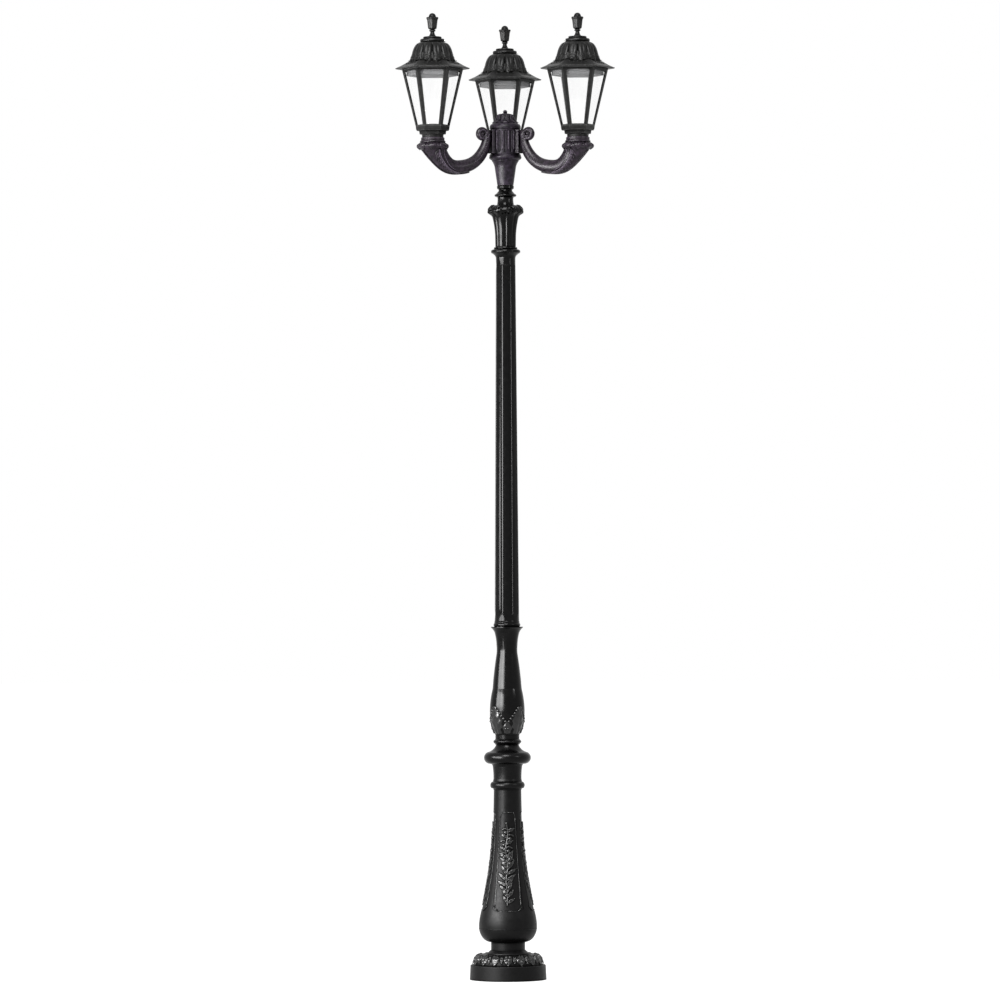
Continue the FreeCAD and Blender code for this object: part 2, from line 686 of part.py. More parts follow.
def cup():
    """Scalloped leaf collar and two rings, with a socket for the lantern's foot."""
    rings = CUP_LEAF_H
    top = rings + CUP_RING_H
    body = turned(raised([
        (0, -4), (CUP_LEAF_R - 8, -4), (CUP_LEAF_R, 2, 1), (CUP_LEAF_R - 3, 9, 1.5),
        (CUP_RING_R - 0.5, rings, -1.5), (CUP_RING_R - 0.5, rings + 8, 2.0), (CUP_RING_R - 2, rings + 9),
        (CUP_RING_R - 2, top), (CUP_SOCKET_R, top), (CUP_SOCKET_R, top - CUP_SOCKET_H),
        (NIPPLE_R, top - CUP_SOCKET_H), (NIPPLE_R, top - CUP_SOCKET_H - NIPPLE_IN_CUP),
        (0, top - CUP_SOCKET_H - NIPPLE_IN_CUP),
    ], CUP_Z))
    notch = Part.makeSphere(5.5, FreeCAD.Vector(CUP_LEAF_R + 2.5, 0, CUP_Z))
    body = body.cut(ring_of(notch, CUP_LEAVES, 180.0 / CUP_LEAVES))
    body.translate(FreeCAD.Vector(REACH, 0, 0))
    return body


def nipple_hole():
    top = CUP_Z + CUP_LEAF_H + CUP_RING_H - CUP_SOCKET_H
    return cylinder(NIPPLE_R, top - NIPPLE_IN_CUP, top + 1, REACH)


def arm():
    """Pad, scroll, drooping curve and trumpet end with its cup, all one casting."""
    sections = arm_sections()
    curve = Part.makeLoft([oval(*s) for s in sections], True, False)
    pad_h = HUB_DRUM_H - 2 * PAD_MARGIN
    pad = Part.makeBox(
        PAD_T, PAD_W, pad_h, FreeCAD.Vector(HUB_FLAT, -PAD_W / 2, HUB_DRUM_Z + PAD_MARGIN))
    start_x, start_z = sections[0][0], sections[0][1]
    eye = FreeCAD.Vector(start_x + SCROLL_R + ARM_TOP_R - SCROLL_TUBE_R, 0, start_z)
    sideways = FreeCAD.Vector(0, 1, 0)
    scroll = Part.makeTorus(SCROLL_R, SCROLL_TUBE_R, eye, sideways)
    hub = Part.makeCylinder(SCROLL_R, 2 * SCROLL_TUBE_R - 6, eye - sideways * (SCROLL_TUBE_R - 3), sideways)
    button = Part.makeSphere(6.0, eye - sideways * (SCROLL_TUBE_R - 5))
    second = Part.makeSphere(6.0, eye + sideways * (SCROLL_TUBE_R - 5))
    crown = Part.makeSphere(ARM_TOP_R, FreeCAD.Vector(start_x, 0, start_z))
    body = curve.fuse([pad, scroll, hub, button, second, crown, cup()])
    holes = [radial_bar(BOLT_R, HUB_FLAT - 1, HUB_FLAT + BOLT_GRIP, z) for z in arm_bolt_heights()]
    return body.cut(holes + [nipple_hole()])


def arm_bolts():
    """Two bolts with heads inside the hub's chamber."""
    bolts = []
    for z in arm_bolt_heights():
        head = radial_bar(BOLT_HEAD_R, CHAMBER_FLAT - BOLT_HEAD_H, CHAMBER_FLAT, z)
        bolts.append(head.fuse(radial_bar(BOLT_R, CHAMBER_FLAT - 1, HUB_FLAT + BOLT_GRIP, z)))
    return Part.makeCompound(bolts)


# Lantern, drawn about the column's axis and moved to the arm's end


def lantern_base():
    """Foot spigot, round neck, hexagonal step and cup, open above."""
    neck_top = BASE_Z + BASE_NECK_H
    step_top = neck_top + BASE_STEP_H
    spigot_r = CUP_SOCKET_R - SOCKET_GAP
    foot = turned([
        (0, BASE_Z - CUP_SOCKET_H + 1), (spigot_r, BASE_Z - CUP_SOCKET_H + 1), (spigot_r, BASE_Z),
        (BASE_NECK_R, BASE_Z), (BASE_NECK_R, neck_top - 3), (BASE_NECK_R + 2, neck_top + 1),
        (0, neck_top + 1),
    ])
    step = hex_frustum(BASE_STEP_R - 1.5, neck_top, BASE_STEP_R, step_top)
    bowl = hex_frustum(BASE_R - 4, step_top, BASE_R - 1.5, step_top + 5)
    wall = hex_frustum(BASE_R - 1.5, step_top + 5, BASE_R, FRAME_Z)
    body = step.fuse(bowl).fuse(wall).fuse(foot)
    inner = BASE_R - BASE_WALL / HEX_APOTHEM
    cavity = hex_frustum(inner - 1, HOLDER_Z + HOLDER_H, inner, FRAME_Z + 1)
    well = cylinder(HOLDER_R + HOLDER_GAP, HOLDER_Z, HOLDER_Z + HOLDER_H + 1)
    nut_well = cylinder(NUT_WELL_R, HOLDER_Z - NUT_WELL_H, HOLDER_Z + 1)
    bore = cylinder(NIPPLE_R, BASE_Z - CUP_SOCKET_H, HOLDER_Z)
    return body.cut(cavity).cut(well).cut(nut_well).cut(bore)


def nipple():
    """Threaded tube from the arm's cup into the lantern's foot, with its nut."""
    low = BASE_Z - CUP_SOCKET_H - NIPPLE_IN_CUP
    seat = HOLDER_Z - NUT_WELL_H
    tube = cylinder(NIPPLE_R, low, seat + NUT_H + 2)
    nut = hex_frustum(NUT_R, seat, NUT_R, seat + NUT_H)
    return tube.fuse(nut).cut(cylinder(NIPPLE_BORE_R, low - 1, seat + NUT_H + 3))


def pin_slots(radius, z_low, z_high):
    """Two curved slots in which the lamp's pins turn by the twist angle."""
    slots = []
    pitch_r = PIN_PITCH / 2
    for side in (0, 180):
        band = Part.makeCylinder(pitch_r + radius, z_high - z_low, polar(0, 0, z_low), UP, LAMP_TWIST)
        core = cylinder(pitch_r - radius, z_low - 1, z_high + 1)
        end = cylinder(radius, z_low, z_high, pitch_r)
        slots.append(spun(band.cut(core).fuse([end, spun(end, LAMP_TWIST)]), side))
    return slots


def lampholder():
    """Shallow round holder with two curved keyways and a wire hole."""
    top = HOLDER_Z + HOLDER_H
    body = cylinder(HOLDER_R, HOLDER_Z, top)
    wires = cylinder(NUT_R + 1, HOLDER_Z - 1, top - 4)
    slots = pin_slots(PIN_R + HOLDER_GAP, top - PIN_L - 1, top + 1)
    return body.cut([wires] + slots)


def lamp():
    """Low disc lamp with a domed lens above and two pins below."""
    low = HOLDER_Z + HOLDER_H + LAMP_RISE
    lens_r = LAMP_R - 3
    body = turned([
        (0, low), (LAMP_R - 6, low), (LAMP_R, low + 6, 1.2), (LAMP_R, low + LAMP_H - 3),
        (lens_r, low + LAMP_H - LENS_RISE, 0.6), (0, low + LAMP_H, crown_sag(lens_r, LENS_RISE)),
    ])
    pins = [cylinder(PIN_R, low - PIN_L, low + 1, side * PIN_PITCH / 2) for side in (-1, 1)]
    return body.fuse(pins)


def frame_radius(z):
    """The glazing frame's radius across corners at that height."""
    return BASE_R + (FRAME_TOP_R - BASE_R) * (z - FRAME_Z) / FRAME_H


def frame_shell(inset, wall, low, high):
    """Hexagonal funnel whose outer faces lie inset from the frame's own."""
    outer = inset / HEX_APOTHEM
    inner = (inset + wall) / HEX_APOTHEM
    body = hex_frustum(frame_radius(low) - outer, low, frame_radius(high) - outer, high)
    below = frame_radius(low - 1) - inner
    above = frame_radius(high + 1) - inner
    return body.cut(hex_frustum(below, low - 1, above, high + 1))


def window(low, high, foot_margin, head_margin, inset=0.0):
    """Trapezoid that opens one face between its ribs, for the face that looks along -Y."""
    low_half = (frame_radius(low) - inset / HEX_APOTHEM) / 2 - foot_margin
    high_half = (frame_radius(high) - inset / HEX_APOTHEM) / 2 - head_margin
    face = plate_outline([(-low_half, low), (low_half, low), (high_half, high), (-high_half, high)], -5)
    return face.extrude(FreeCAD.Vector(0, -2 * FRAME_TOP_R, 0))


def glazing_frame():
    """Six corner ribs between a lower and an upper rail, as one casting."""
    high = FRAME_Z + FRAME_H
    shell = frame_shell(0, FRAME_WALL, FRAME_Z, high)
    opening = window(FRAME_Z + RAIL_LOW, high - RAIL_TOP, RIB_FOOT_W, RIB_HEAD_W)
    arches = [e for e in opening.Edges if is_top_corner(e, high - RAIL_TOP)]
    return shell.cut(ring_of(opening.makeFillet(RAIL_FILLET, arches), 6))


def is_top_corner(edge, z):
    """Whether the edge runs through the frame's wall at that height, at a window's corner."""
    ends = [v.Point for v in edge.Vertexes]
    return all(abs(p.z - z) < 0.01 for p in ends) and abs(ends[0].x - ends[1].x) < 0.01


def panes():
    """Six separate clear trapezoids against the frame's inner faces."""
    low = FRAME_Z + PANE_MARGIN
    high = FRAME_Z + FRAME_H - RAIL_TOP + PANE_LAP
    shell = frame_shell(FRAME_WALL, PANE_T, low, high)
    pane = shell.common(window(low - 1, high + 1, PANE_MARGIN, PANE_MARGIN, FRAME_WALL + PANE_T))
    return Part.makeCompound(ring_of(pane, 6))


def seal():
    """Flat hexagonal seal on the frame's upper rail."""
    low = FRAME_Z + FRAME_H
    inner = FRAME_TOP_R - SEAL_W
    return hex_frustum(FRAME_TOP_R, low, FRAME_TOP_R, low + SEAL_T).cut(
        hex_frustum(inner, low - 1, inner, low + SEAL_T + 1))


def ceiling():
    """Hexagonal tray that closes the roof from below and drops inside the frame."""
    low = FRAME_Z + FRAME_H - RAIL_TOP - CEILING_DROP
    radius = frame_radius(low) - (FRAME_WALL + PANE_T + CEILING_GAP) / HEX_APOTHEM
    inner = radius - CEILING_T / HEX_APOTHEM
    tray = hex_frustum(radius, low, radius, EAVE_Z)
    return tray.cut(hex_frustum(inner, low + CEILING_T, inner, EAVE_Z + 1))


def lobed_ring(radius, depth, z):
    """Closed wire of outward arcs, one per gadroon, with grooves depth inside the radius."""
    pitch = 360.0 / GADROONS
    arcs = []
    for k in range(GADROONS):
        start = polar(radius * (1 - depth), k * pitch, z)
        crest = polar(radius, (k + 0.5) * pitch, z)
        end = polar(radius * (1 - depth), (k + 1) * pitch, z)
        arcs.append(Part.Arc(start, crest, end).toShape())
    return Part.Wire(arcs)


def dome():
    """Gadrooned dome, swelling from the collar down to the skirt."""
    drop = DOME_R - DOME_TOP_R
    stages = [
        (-0.08, 0.0, 0.9), (0.0, 0.0, 1.0), (0.23, 0.08, 1.0), (0.31, 0.13, 1.0), (0.63, 0.395, 1.0),
        (0.88, 0.62, 0.9), (1.0, 1.0, 0.3),
    ]
    rings = [
        lobed_ring(DOME_R - drop * inward, GADROON_DEPTH * depth, DOME_Z + DOME_H * height)
        for height, inward, depth in stages
    ]
    return Part.makeLoft(rings, True, False)


def skirt():
    """Concave hexagonal skirt that flares from the dome to the thin eave."""
    eave_top = EAVE_Z + EAVE_T
    knee_z = eave_top + SKIRT_KNEE_RISE * SKIRT_H
    knee_r = SKIRT_TOP_R + SKIRT_KNEE_SPREAD * (EAVE_R - SKIRT_TOP_R)
    eave = hex_frustum(EAVE_R - 1, EAVE_Z, EAVE_R, eave_top)
    low = hex_frustum(EAVE_R - 2, eave_top, knee_r, knee_z)
    high = hex_frustum(knee_r, knee_z, SKIRT_TOP_R, eave_top + SKIRT_H)
    return eave.fuse([low, high])


def roof():
    """Skirt, gadrooned dome and the round collar that takes the finial cap."""
    collar_low = FINIAL_Z
    collar = turned([
        (0, collar_low - 6), (DOME_TOP_R - 8, collar_low - 6), (DOME_TOP_R - 8, collar_low),
        (ROOF_COLLAR_R, collar_low), (ROOF_COLLAR_R, collar_low + ROOF_COLLAR_H),
        (0, collar_low + ROOF_COLLAR_H),
    ])
    wide = SKIRT_TOP_R * HEX_APOTHEM - ROOF_WALL
    dome_in = DOME_R * (1 - GADROON_DEPTH) - ROOF_WALL
    cavity = turned([
        (0, EAVE_Z - 1), (wide + 8, EAVE_Z - 1), (wide + 8, EAVE_Z), (dome_in - 2, EAVE_Z + EAVE_T + SKIRT_H),
        (DOME_TOP_R - 10, FINIAL_Z - 14, 8), (0, FINIAL_Z - 8),
    ])
    return skirt().fuse([dome(), collar]).cut(cavity)


def screw_z():
    return FINIAL_Z + LID_GAP + FINIAL_RING_H * 0.55


def finial_cap():
    """Two stepped rings under a stem, a vase with a turned-out brim and a bud."""
    z = FINIAL_Z + LID_GAP
    ring = FINIAL_RING_H
    step = ring + FINIAL_STEP_H
    stem = step + FINIAL_STEM_H
    vase = stem + FINIAL_VASE_H
    tip = vase + FINIAL_TIP_H
    inner = ROOF_COLLAR_R + FINIAL_BORE_GAP
    hollow = ROOF_COLLAR_H + 1.0
    body = turned(raised([
        (0, hollow), (inner, hollow), (inner, 0), (FINIAL_RING_R - 2, 0), (FINIAL_RING_R - 2, ring - 1, 2.0),
        (FINIAL_STEP_R - 1, ring), (FINIAL_STEP_R - 1, step - 1, 1.2), (FINIAL_STEM_R + 3, step),
        (FINIAL_STEM_R, step + 2), (7, stem - 4, -1.5), (9, stem - 3), (9, stem + 2, 2.0), (7, stem + 3),
        (FINIAL_VASE_R, stem + 9, 1.5), (FINIAL_VASE_R + 3, vase - 9), (FINIAL_BRIM_R, vase - 2),
        (FINIAL_BRIM_R - 1, vase), (FINIAL_TIP_R - 2, vase),
        (FINIAL_TIP_R, vase + 4, 1.0), (0, tip, crown_sag(FINIAL_TIP_R, FINIAL_TIP_H - 4)),
    ], z))
    return body.cut(radial_bar(SCREW_R + SCREW_FIT, ROOF_COLLAR_R - 1, FINIAL_RING_R + 2, screw_z()))


def set_screw():
    """Small headed screw that stands out of the finial cap's lower ring."""
    shank = radial_bar(SCREW_R, ROOF_COLLAR_R + LID_GAP, FINIAL_RING_R + SCREW_OUT, screw_z())
    head_r = FINIAL_RING_R + SCREW_OUT - SCREW_HEAD_L
    head = radial_bar(SCREW_HEAD_R, head_r, FINIAL_RING_R + SCREW_OUT, screw_z())
    return shank.fuse(head)


def lantern(head):
    """Every piece of one lantern, at the end of its arm."""
    place = polar(REACH, ARM_ANGLES[head])
    shapes = {
        "lantern_base": lantern_base(), "nipple": nipple(), "lampholder": lampholder(), "lamp": lamp(),
        "glazing_frame": glazing_frame(), "panes": panes(), "seal": seal(), "ceiling": ceiling(),
        "roof": roof(), "finial_cap": spun(finial_cap(), SCREW_ANGLES[head]),
        "set_screw": spun(set_screw(), SCREW_ANGLES[head]),
    }
    for shape in shapes.values():
        shape.translate(place)
    return {f"{name}_{head}": shape for name, shape in shapes.items()}


def pieces():
    made = {
        "base_plate": base_plate(), "core_tube": core_tube(), "foot_drum": foot_drum(),
        "leaf_collar": leaf_collar(), "pedestal": pedestal(), "lower_collar": lower_collar(),
        "baluster": baluster(), "shaft": shaft(), "capital": capital(), "hub_body": hub_body(),
        "hub_grub_screws": hub_grub_screws(), "cap_rod": cap_rod(), "terminal_block": terminal_block(),
        "terminal_screws": terminal_screws(), "hub_cap": hub_cap(), "cap_nut": cap_nut(),
    }
    one_arm = arm()
    bolts = arm_bolts()
    for head, angle in ARM_ANGLES.items():
        made[f"arm_{head}"] = spun(one_arm, angle)
        made[f"arm_bolts_{head}"] = spun(bolts, angle)
        made.update(lantern(head))
    return made


os.makedirs("parts", exist_ok=True)
for node, shape in pieces().items():
    shape.exportStep(f"parts/{node}.step")
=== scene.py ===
import bpy
import json
import math
from collections import namedtuple
from mathutils import Matrix, Vector
from mathutils.bvhtree import BVHTree


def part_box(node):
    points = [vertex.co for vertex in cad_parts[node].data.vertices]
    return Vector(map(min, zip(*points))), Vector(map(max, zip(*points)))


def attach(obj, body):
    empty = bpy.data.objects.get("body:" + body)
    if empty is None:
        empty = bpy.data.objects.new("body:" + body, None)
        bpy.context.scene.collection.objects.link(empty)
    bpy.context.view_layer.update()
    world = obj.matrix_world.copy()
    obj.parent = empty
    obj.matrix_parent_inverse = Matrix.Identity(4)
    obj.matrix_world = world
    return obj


# The dressed look of a three-lantern garden post. Metres, the same frame as the solids.

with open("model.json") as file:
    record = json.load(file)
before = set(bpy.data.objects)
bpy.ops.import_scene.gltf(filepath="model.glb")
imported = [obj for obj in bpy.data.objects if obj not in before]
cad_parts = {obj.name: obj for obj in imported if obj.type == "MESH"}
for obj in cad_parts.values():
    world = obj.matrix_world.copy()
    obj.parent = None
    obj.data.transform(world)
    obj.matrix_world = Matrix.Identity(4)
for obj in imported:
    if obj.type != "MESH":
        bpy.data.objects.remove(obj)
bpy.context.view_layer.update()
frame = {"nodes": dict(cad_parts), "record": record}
nodes = frame["nodes"]
HEADS = ("left", "right", "rear")


# Camera and stage

CAMERA_DISTANCE = 19.0
CAMERA_HEIGHT = 1.35
AIM_X = -0.0225           # the column stands a little to the right of the picture's middle
AIM_HEIGHT = 1.6565
CAMERA_ROLL = math.radians(0.2)
LENS_MM = 197.7
SENSOR_MM = 36.0
SIGHT_END = 500.0
FLOOR_HALF = 60.0
FLOOR_DROP = 0.0005       # keeps the floor's face off the post's underside
FLOOR_TONE = (0.55, 0.55, 0.55, 1)
FLOOR_GLOW = 0.86
AMBIENT = 0.40
LAMP_AIM_TOP = 1.7        # a lamp above this height looks down at it
WHITE = (1, 1, 1, 1)


def make_camera():
    data = bpy.data.cameras.new("camera")
    data.sensor_width = SENSOR_MM
    data.lens = LENS_MM
    data.clip_end = SIGHT_END
    camera = bpy.data.objects.new("camera", data)
    bpy.context.scene.collection.objects.link(camera)
    camera.location = (AIM_X, -CAMERA_DISTANCE, CAMERA_HEIGHT)
    towards = Vector((AIM_X, 0.0, AIM_HEIGHT)) - camera.location
    level = towards.to_track_quat("-Z", "Y").to_matrix().to_4x4()
    roll = Matrix.Rotation(CAMERA_ROLL, 4, towards.normalized())
    camera.rotation_mode = "QUATERNION"
    camera.rotation_quaternion = (roll @ level).to_quaternion()
    bpy.context.scene.camera = camera


def math_node(tree, operation, first, second):
    """Output of a math node on a socket and either another socket or a number."""
    node = tree.nodes.new("ShaderNodeMath")
    node.operation = operation
    tree.links.new(first, node.inputs[0])
    if isinstance(second, float):
        node.inputs[1].default_value = second
    else:
        tree.links.new(second, node.inputs[1])
    return node.outputs[0]


def seen_directly(tree):
    """1 for rays that look at the background itself or mirror it, 0 for rays that only gather light."""
    path = tree.nodes.new("ShaderNodeLightPath").outputs
    either = math_node(tree, "MAXIMUM", path["Is Camera Ray"], path["Is Glossy Ray"])
    return math_node(tree, "MAXIMUM", either, path["Is Transmission Ray"])


def make_world():
    """White where it is seen, and a softer even light on the object."""
    world = bpy.data.worlds.new("studio")
    world.use_nodes = True
    tree = world.node_tree
    tree.nodes.clear()
    white = tree.nodes.new("ShaderNodeBackground")
    soft = tree.nodes.new("ShaderNodeBackground")
    soft.inputs["Strength"].default_value = AMBIENT
    mix = tree.nodes.new("ShaderNodeMixShader")
    out = tree.nodes.new("ShaderNodeOutputWorld")
    for shader in (white, soft):
        shader.inputs["Color"].default_value = WHITE
    tree.links.new(seen_directly(tree), mix.inputs[0])
    tree.links.new(soft.outputs[0], mix.inputs[1])
    tree.links.new(white.outputs[0], mix.inputs[2])
    tree.links.new(mix.outputs[0], out.inputs[0])
    bpy.context.scene.world = world


def make_floor():
    """Pale ground whose own glow makes it white, and which still takes a soft shadow."""
    mesh = bpy.data.meshes.new("floor")
    h = FLOOR_HALF
    mesh.from_pydata([(-h, -h, 0), (h, -h, 0), (h, h, 0), (-h, h, 0)], [], [(0, 1, 2, 3)])
    floor = bpy.data.objects.new("floor", mesh)
    bpy.context.scene.collection.objects.link(floor)
    floor.location.z = -FLOOR_DROP
    material = bpy.data.materials.new("floor")
    material.use_nodes = True
    tree = material.node_tree
    shader = tree.nodes["Principled BSDF"]
    shader.inputs["Base Color"].default_value = FLOOR_TONE
    shader.inputs["Roughness"].default_value = 0.95
    shader.inputs["Specular IOR Level"].default_value = 0.0
    shader.inputs["Emission Color"].default_value = WHITE
    glow = math_node(tree, "MULTIPLY", seen_directly(tree), FLOOR_GLOW)
    tree.links.new(glow, shader.inputs["Emission Strength"])
    mesh.materials.append(material)


def area_lamp(name, azimuth, distance, height, size, power, gloss_only=False):
    """Soft lamp beside the camera; azimuth 0 is the camera's side, positive to its right."""
    data = bpy.data.lights.new(name, "AREA")
    data.shape = "RECTANGLE"
    data.size, data.size_y = size
    data.energy = power
    lamp = bpy.data.objects.new(name, data)
    bpy.context.scene.collection.objects.link(lamp)
    angle = math.radians(azimuth)
    lamp.location = (distance * math.sin(angle), -distance * math.cos(angle), height)
    target = Vector((0, 0, min(height, LAMP_AIM_TOP)))
    lamp.rotation_mode = "QUATERNION"
    lamp.rotation_quaternion = (target - lamp.location).to_track_quat("-Z", "Y")
    lamp.visible_diffuse = not gloss_only


def make_lamps():
    """Four lamps that light the object, and two that only its gloss mirrors."""
    area_lamp("side_strip", azimuth=-76, distance=5.0, height=2.15, size=(0.5, 2.1), power=80)
    area_lamp("front_strip", azimuth=-42, distance=5.0, height=1.65, size=(0.9, 3.1), power=130)
    area_lamp("fill_strip", azimuth=55, distance=5.0, height=3.5, size=(0.9, 1.0), power=50)
    area_lamp("top_lamp", azimuth=-15, distance=4.0, height=5.5, size=(2.0, 2.0), power=60)
    area_lamp("gloss_box", azimuth=-50, distance=5.0, height=2.05, size=(4.4, 1.6), power=850,
              gloss_only=True)
    area_lamp("gloss_top", azimuth=-10, distance=4.0, height=5.5, size=(2.4, 2.4), power=450,
              gloss_only=True)


make_camera()
make_world()
make_floor()
make_lamps()
bpy.context.scene.view_settings.view_transform = "Standard"


# Materials. Sizes and depths are in metres.

SPLASH_LOW = 0.45         # below this height rain splash has dulled the paint
SPLASH_HIGH = 0.95
SPLASH_WEAR = 0.26
MOTTLE_SIZE = 0.012
DUST_SIZE = 0.010
DUST_PATCH = 0.05
CREVICE_SHADE_SIZE = 0.02
WEAR_SIZE = 0.02
EDGE_HIGHLIGHT_SIZE = 0.004
EDGE_HIGHLIGHT_REACH = 0.0045        # how near an edge the painted highlight reaches
WAVE_SIZE = 0.12
WAVE_DEPTH = 0.004
GRAIN_SIZE = 0.0016
GRAIN_DEPTH = 0.0002
PIT_DEPTH = 0.15          # share of the pits' pitch
HOLLOW_SHINE = 0.15       # share of the open skin's shine that is left in hollows: painted shade on the reflections there
# shares of the paint's dark colour that hollows take as painted shade, deepest and least deep
CREVICE_SHADE_SHARES = (0.15, 0.4)
FACING_SKY = (0.35, 1.0)  # the normal's height from where dust settles to where it lies thickest
OPEN_BAND = (0.58, 0.97)  # occlusion from deep hollows to open skin
EDGE_BAND = (0.25, 0.85)  # inner occlusion from sharp edges to flat skin
AO_SAMPLES = 6


class Shading:
    """A principled material and the few node helpers that the surfaces share."""

    def __init__(self, name):
        self.material = bpy.data.materials.new(name)
        self.material.use_nodes = True
        self.tree = self.material.node_tree
        self.shader = self.tree.nodes["Principled BSDF"]
        self.place = self.tree.nodes.new("ShaderNodeTexCoord").outputs["Object"]

    def link(self, source, target):
        self.tree.links.new(source, target)

    def feed(self, **sources):
        """Links each source to the shader's input of that name."""
        for name, source in sources.items():
            self.link(source, self.shader.inputs[name.replace("_", " ")])

    def set(self, **values):
        for name, value in values.items():
            self.shader.inputs[name.replace("_", " ")].default_value = value

    def noise(self, size, detail=3.0, stretch=None):
        """Noise with features of that size in metres."""
        node = self.tree.nodes.new("ShaderNodeTexNoise")
        node.inputs["Scale"].default_value = 1.0 / size
        node.inputs["Detail"].default_value = detail
        place = self.place
        if stretch:
            mapping = self.tree.nodes.new("ShaderNodeMapping")
            mapping.inputs["Scale"].default_value = stretch
            self.link(place, mapping.inputs["Vector"])
            place = mapping.outputs["Vector"]
        self.link(place, node.inputs["Vector"])
        return node.outputs["Fac"]

    def cells(self, size):
        """Rounded pits of that pitch, as a sand mould leaves."""
        node = self.tree.nodes.new("ShaderNodeTexVoronoi")
        node.feature = "SMOOTH_F1"
        node.inputs["Scale"].default_value = 1.0 / size
        self.link(self.place, node.inputs["Vector"])
        return node.outputs["Distance"]

    def spread(self, value, low, high, start=0.3, end=0.7):
        """Takes start to end of the value to low to high."""
        node = self.tree.nodes.new("ShaderNodeMapRange")
        node.inputs["From Min"].default_value = start
        node.inputs["From Max"].default_value = end
        node.inputs["To Min"].default_value = low
        node.inputs["To Max"].default_value = high
        self.link(value, node.inputs["Value"])
        return node.outputs["Result"]

    def ramp(self, value, stops):
        node = self.tree.nodes.new("ShaderNodeValToRGB")
        elements = node.color_ramp.elements
        for element, (position, colour) in zip(elements, stops):
            element.position = position
            element.color = (*colour, 1)
        self.link(value, node.inputs["Fac"])
        return node.outputs["Color"]

    def blend(self, factor, first, second):
        node = self.tree.nodes.new("ShaderNodeMix")
        node.data_type = "RGBA"
        self.link(factor, node.inputs["Factor"])
        self.link(first, node.inputs["A"])
        self.link(second, node.inputs["B"])
        return node.outputs["Result"]

    def combine(self, operation, first, second):
        return math_node(self.tree, operation, first, second)

    def upward(self):
        """How far the surface faces the sky, from 0 to 1."""
        geometry = self.tree.nodes.new("ShaderNodeNewGeometry")
        split = self.tree.nodes.new("ShaderNodeSeparateXYZ")
        self.link(geometry.outputs["Normal"], split.inputs[0])
        return self.spread(split.outputs["Z"], 0.0, 1.0, *FACING_SKY)

    def occlusion(self, reach, inside):
        node = self.tree.nodes.new("ShaderNodeAmbientOcclusion")
        node.inputs["Distance"].default_value = reach
        node.samples = AO_SAMPLES
        node.inside = inside
        node.only_local = inside
        return node.outputs["AO"]

    def openness(self, reach):
        """1 on open skin, down to 0 in hollows narrower than that reach; the mask of the painted shade in
        hollows.
        """
        return self.spread(self.occlusion(reach, inside=False), 0.0, 1.0, *OPEN_BAND)

    def edges(self, reach):
        """0 on flat skin, up to 1 on sharp outer edges: the mask of the painted edge highlight."""
        return self.spread(self.occlusion(reach, inside=True), 1.0, 0.0, *EDGE_BAND)

    def by_height(self, low, high, at_low, at_high):
        """A value that goes from at_low to at_high between two heights."""
        split = self.tree.nodes.new("ShaderNodeSeparateXYZ")
        self.link(self.place, split.inputs[0])
        return self.spread(split.outputs["Z"], at_low, at_high, low, high)

    def bump(self, *layers):
        """Stacks (pattern, depth, strength) layers into the shader's normal."""
        normal = None
        for pattern, depth, strength in layers:
            node = self.tree.nodes.new("ShaderNodeBump")
            node.inputs["Distance"].default_value = depth
            node.inputs["Strength"].default_value = strength
            self.link(pattern, node.inputs["Height"])
            if normal:
                self.link(normal, node.inputs["Normal"])
            normal = node.outputs["Normal"]
        self.feed(Normal=normal)


def cast_paint(name, dark, light, dust, roughness, specular, waves, pit_size, pits, hollow, splash, grain,
               edge_highlight=None):
    """Paint on a casting: mottled, wavy, dimpled, dusty above, with painted shade that darkens it and dims
    its shine in hollows narrower than hollow, and a painted highlight on sharp edges when an edge colour is
    given.
    """
    look = Shading(name)
    # Painted shade: the shine drops in hollows, as if their reflections were shaded.
    openness = look.openness(hollow)
    shine = look.spread(openness, HOLLOW_SHINE * specular, specular, 0.0, 1.0)
    mottle = look.ramp(look.noise(MOTTLE_SIZE, 5.0), [(0.35, dark), (0.65, light)])
    dusty = look.ramp(look.noise(DUST_SIZE, 4.0), [(0.3, light), (0.7, dust)])
    patches = look.spread(look.noise(DUST_PATCH), 0.0, 0.8)
    colour = look.blend(look.combine("MULTIPLY", look.upward(), patches), mottle, dusty)
    # Painted shade: hollows take a darker copy of the paint's dark colour.
    deepest, deep = (tuple(share * c for c in dark) for share in CREVICE_SHADE_SHARES)
    crevice_shade = look.ramp(look.noise(CREVICE_SHADE_SIZE, 2.0), [(0.3, deepest), (0.7, deep)])
    # Painted highlight: sharp edges take a lighter copy of the paint's colour, as if they caught the light.
    if edge_highlight:
        edge_highlight_colour = look.ramp(look.noise(EDGE_HIGHLIGHT_SIZE), [(0.3, light), (0.7, edge_highlight)])
        colour = look.blend(look.edges(EDGE_HIGHLIGHT_REACH), colour, edge_highlight_colour)
    worn = look.spread(look.noise(WEAR_SIZE, 4.0), roughness - 0.05, roughness + 0.06)
    splashed = look.by_height(SPLASH_LOW, SPLASH_HIGH, splash, 0.0)
    look.feed(
        Specular_IOR_Level=shine,
        Base_Color=look.blend(openness, crevice_shade, colour),
        Roughness=look.combine("ADD", worn, splashed))
    look.bump(
        (look.noise(WAVE_SIZE, 2.0), WAVE_DEPTH, waves),
        (look.cells(pit_size), PIT_DEPTH * pit_size, pits),
        (look.noise(GRAIN_SIZE), GRAIN_DEPTH, grain))
    return look.material


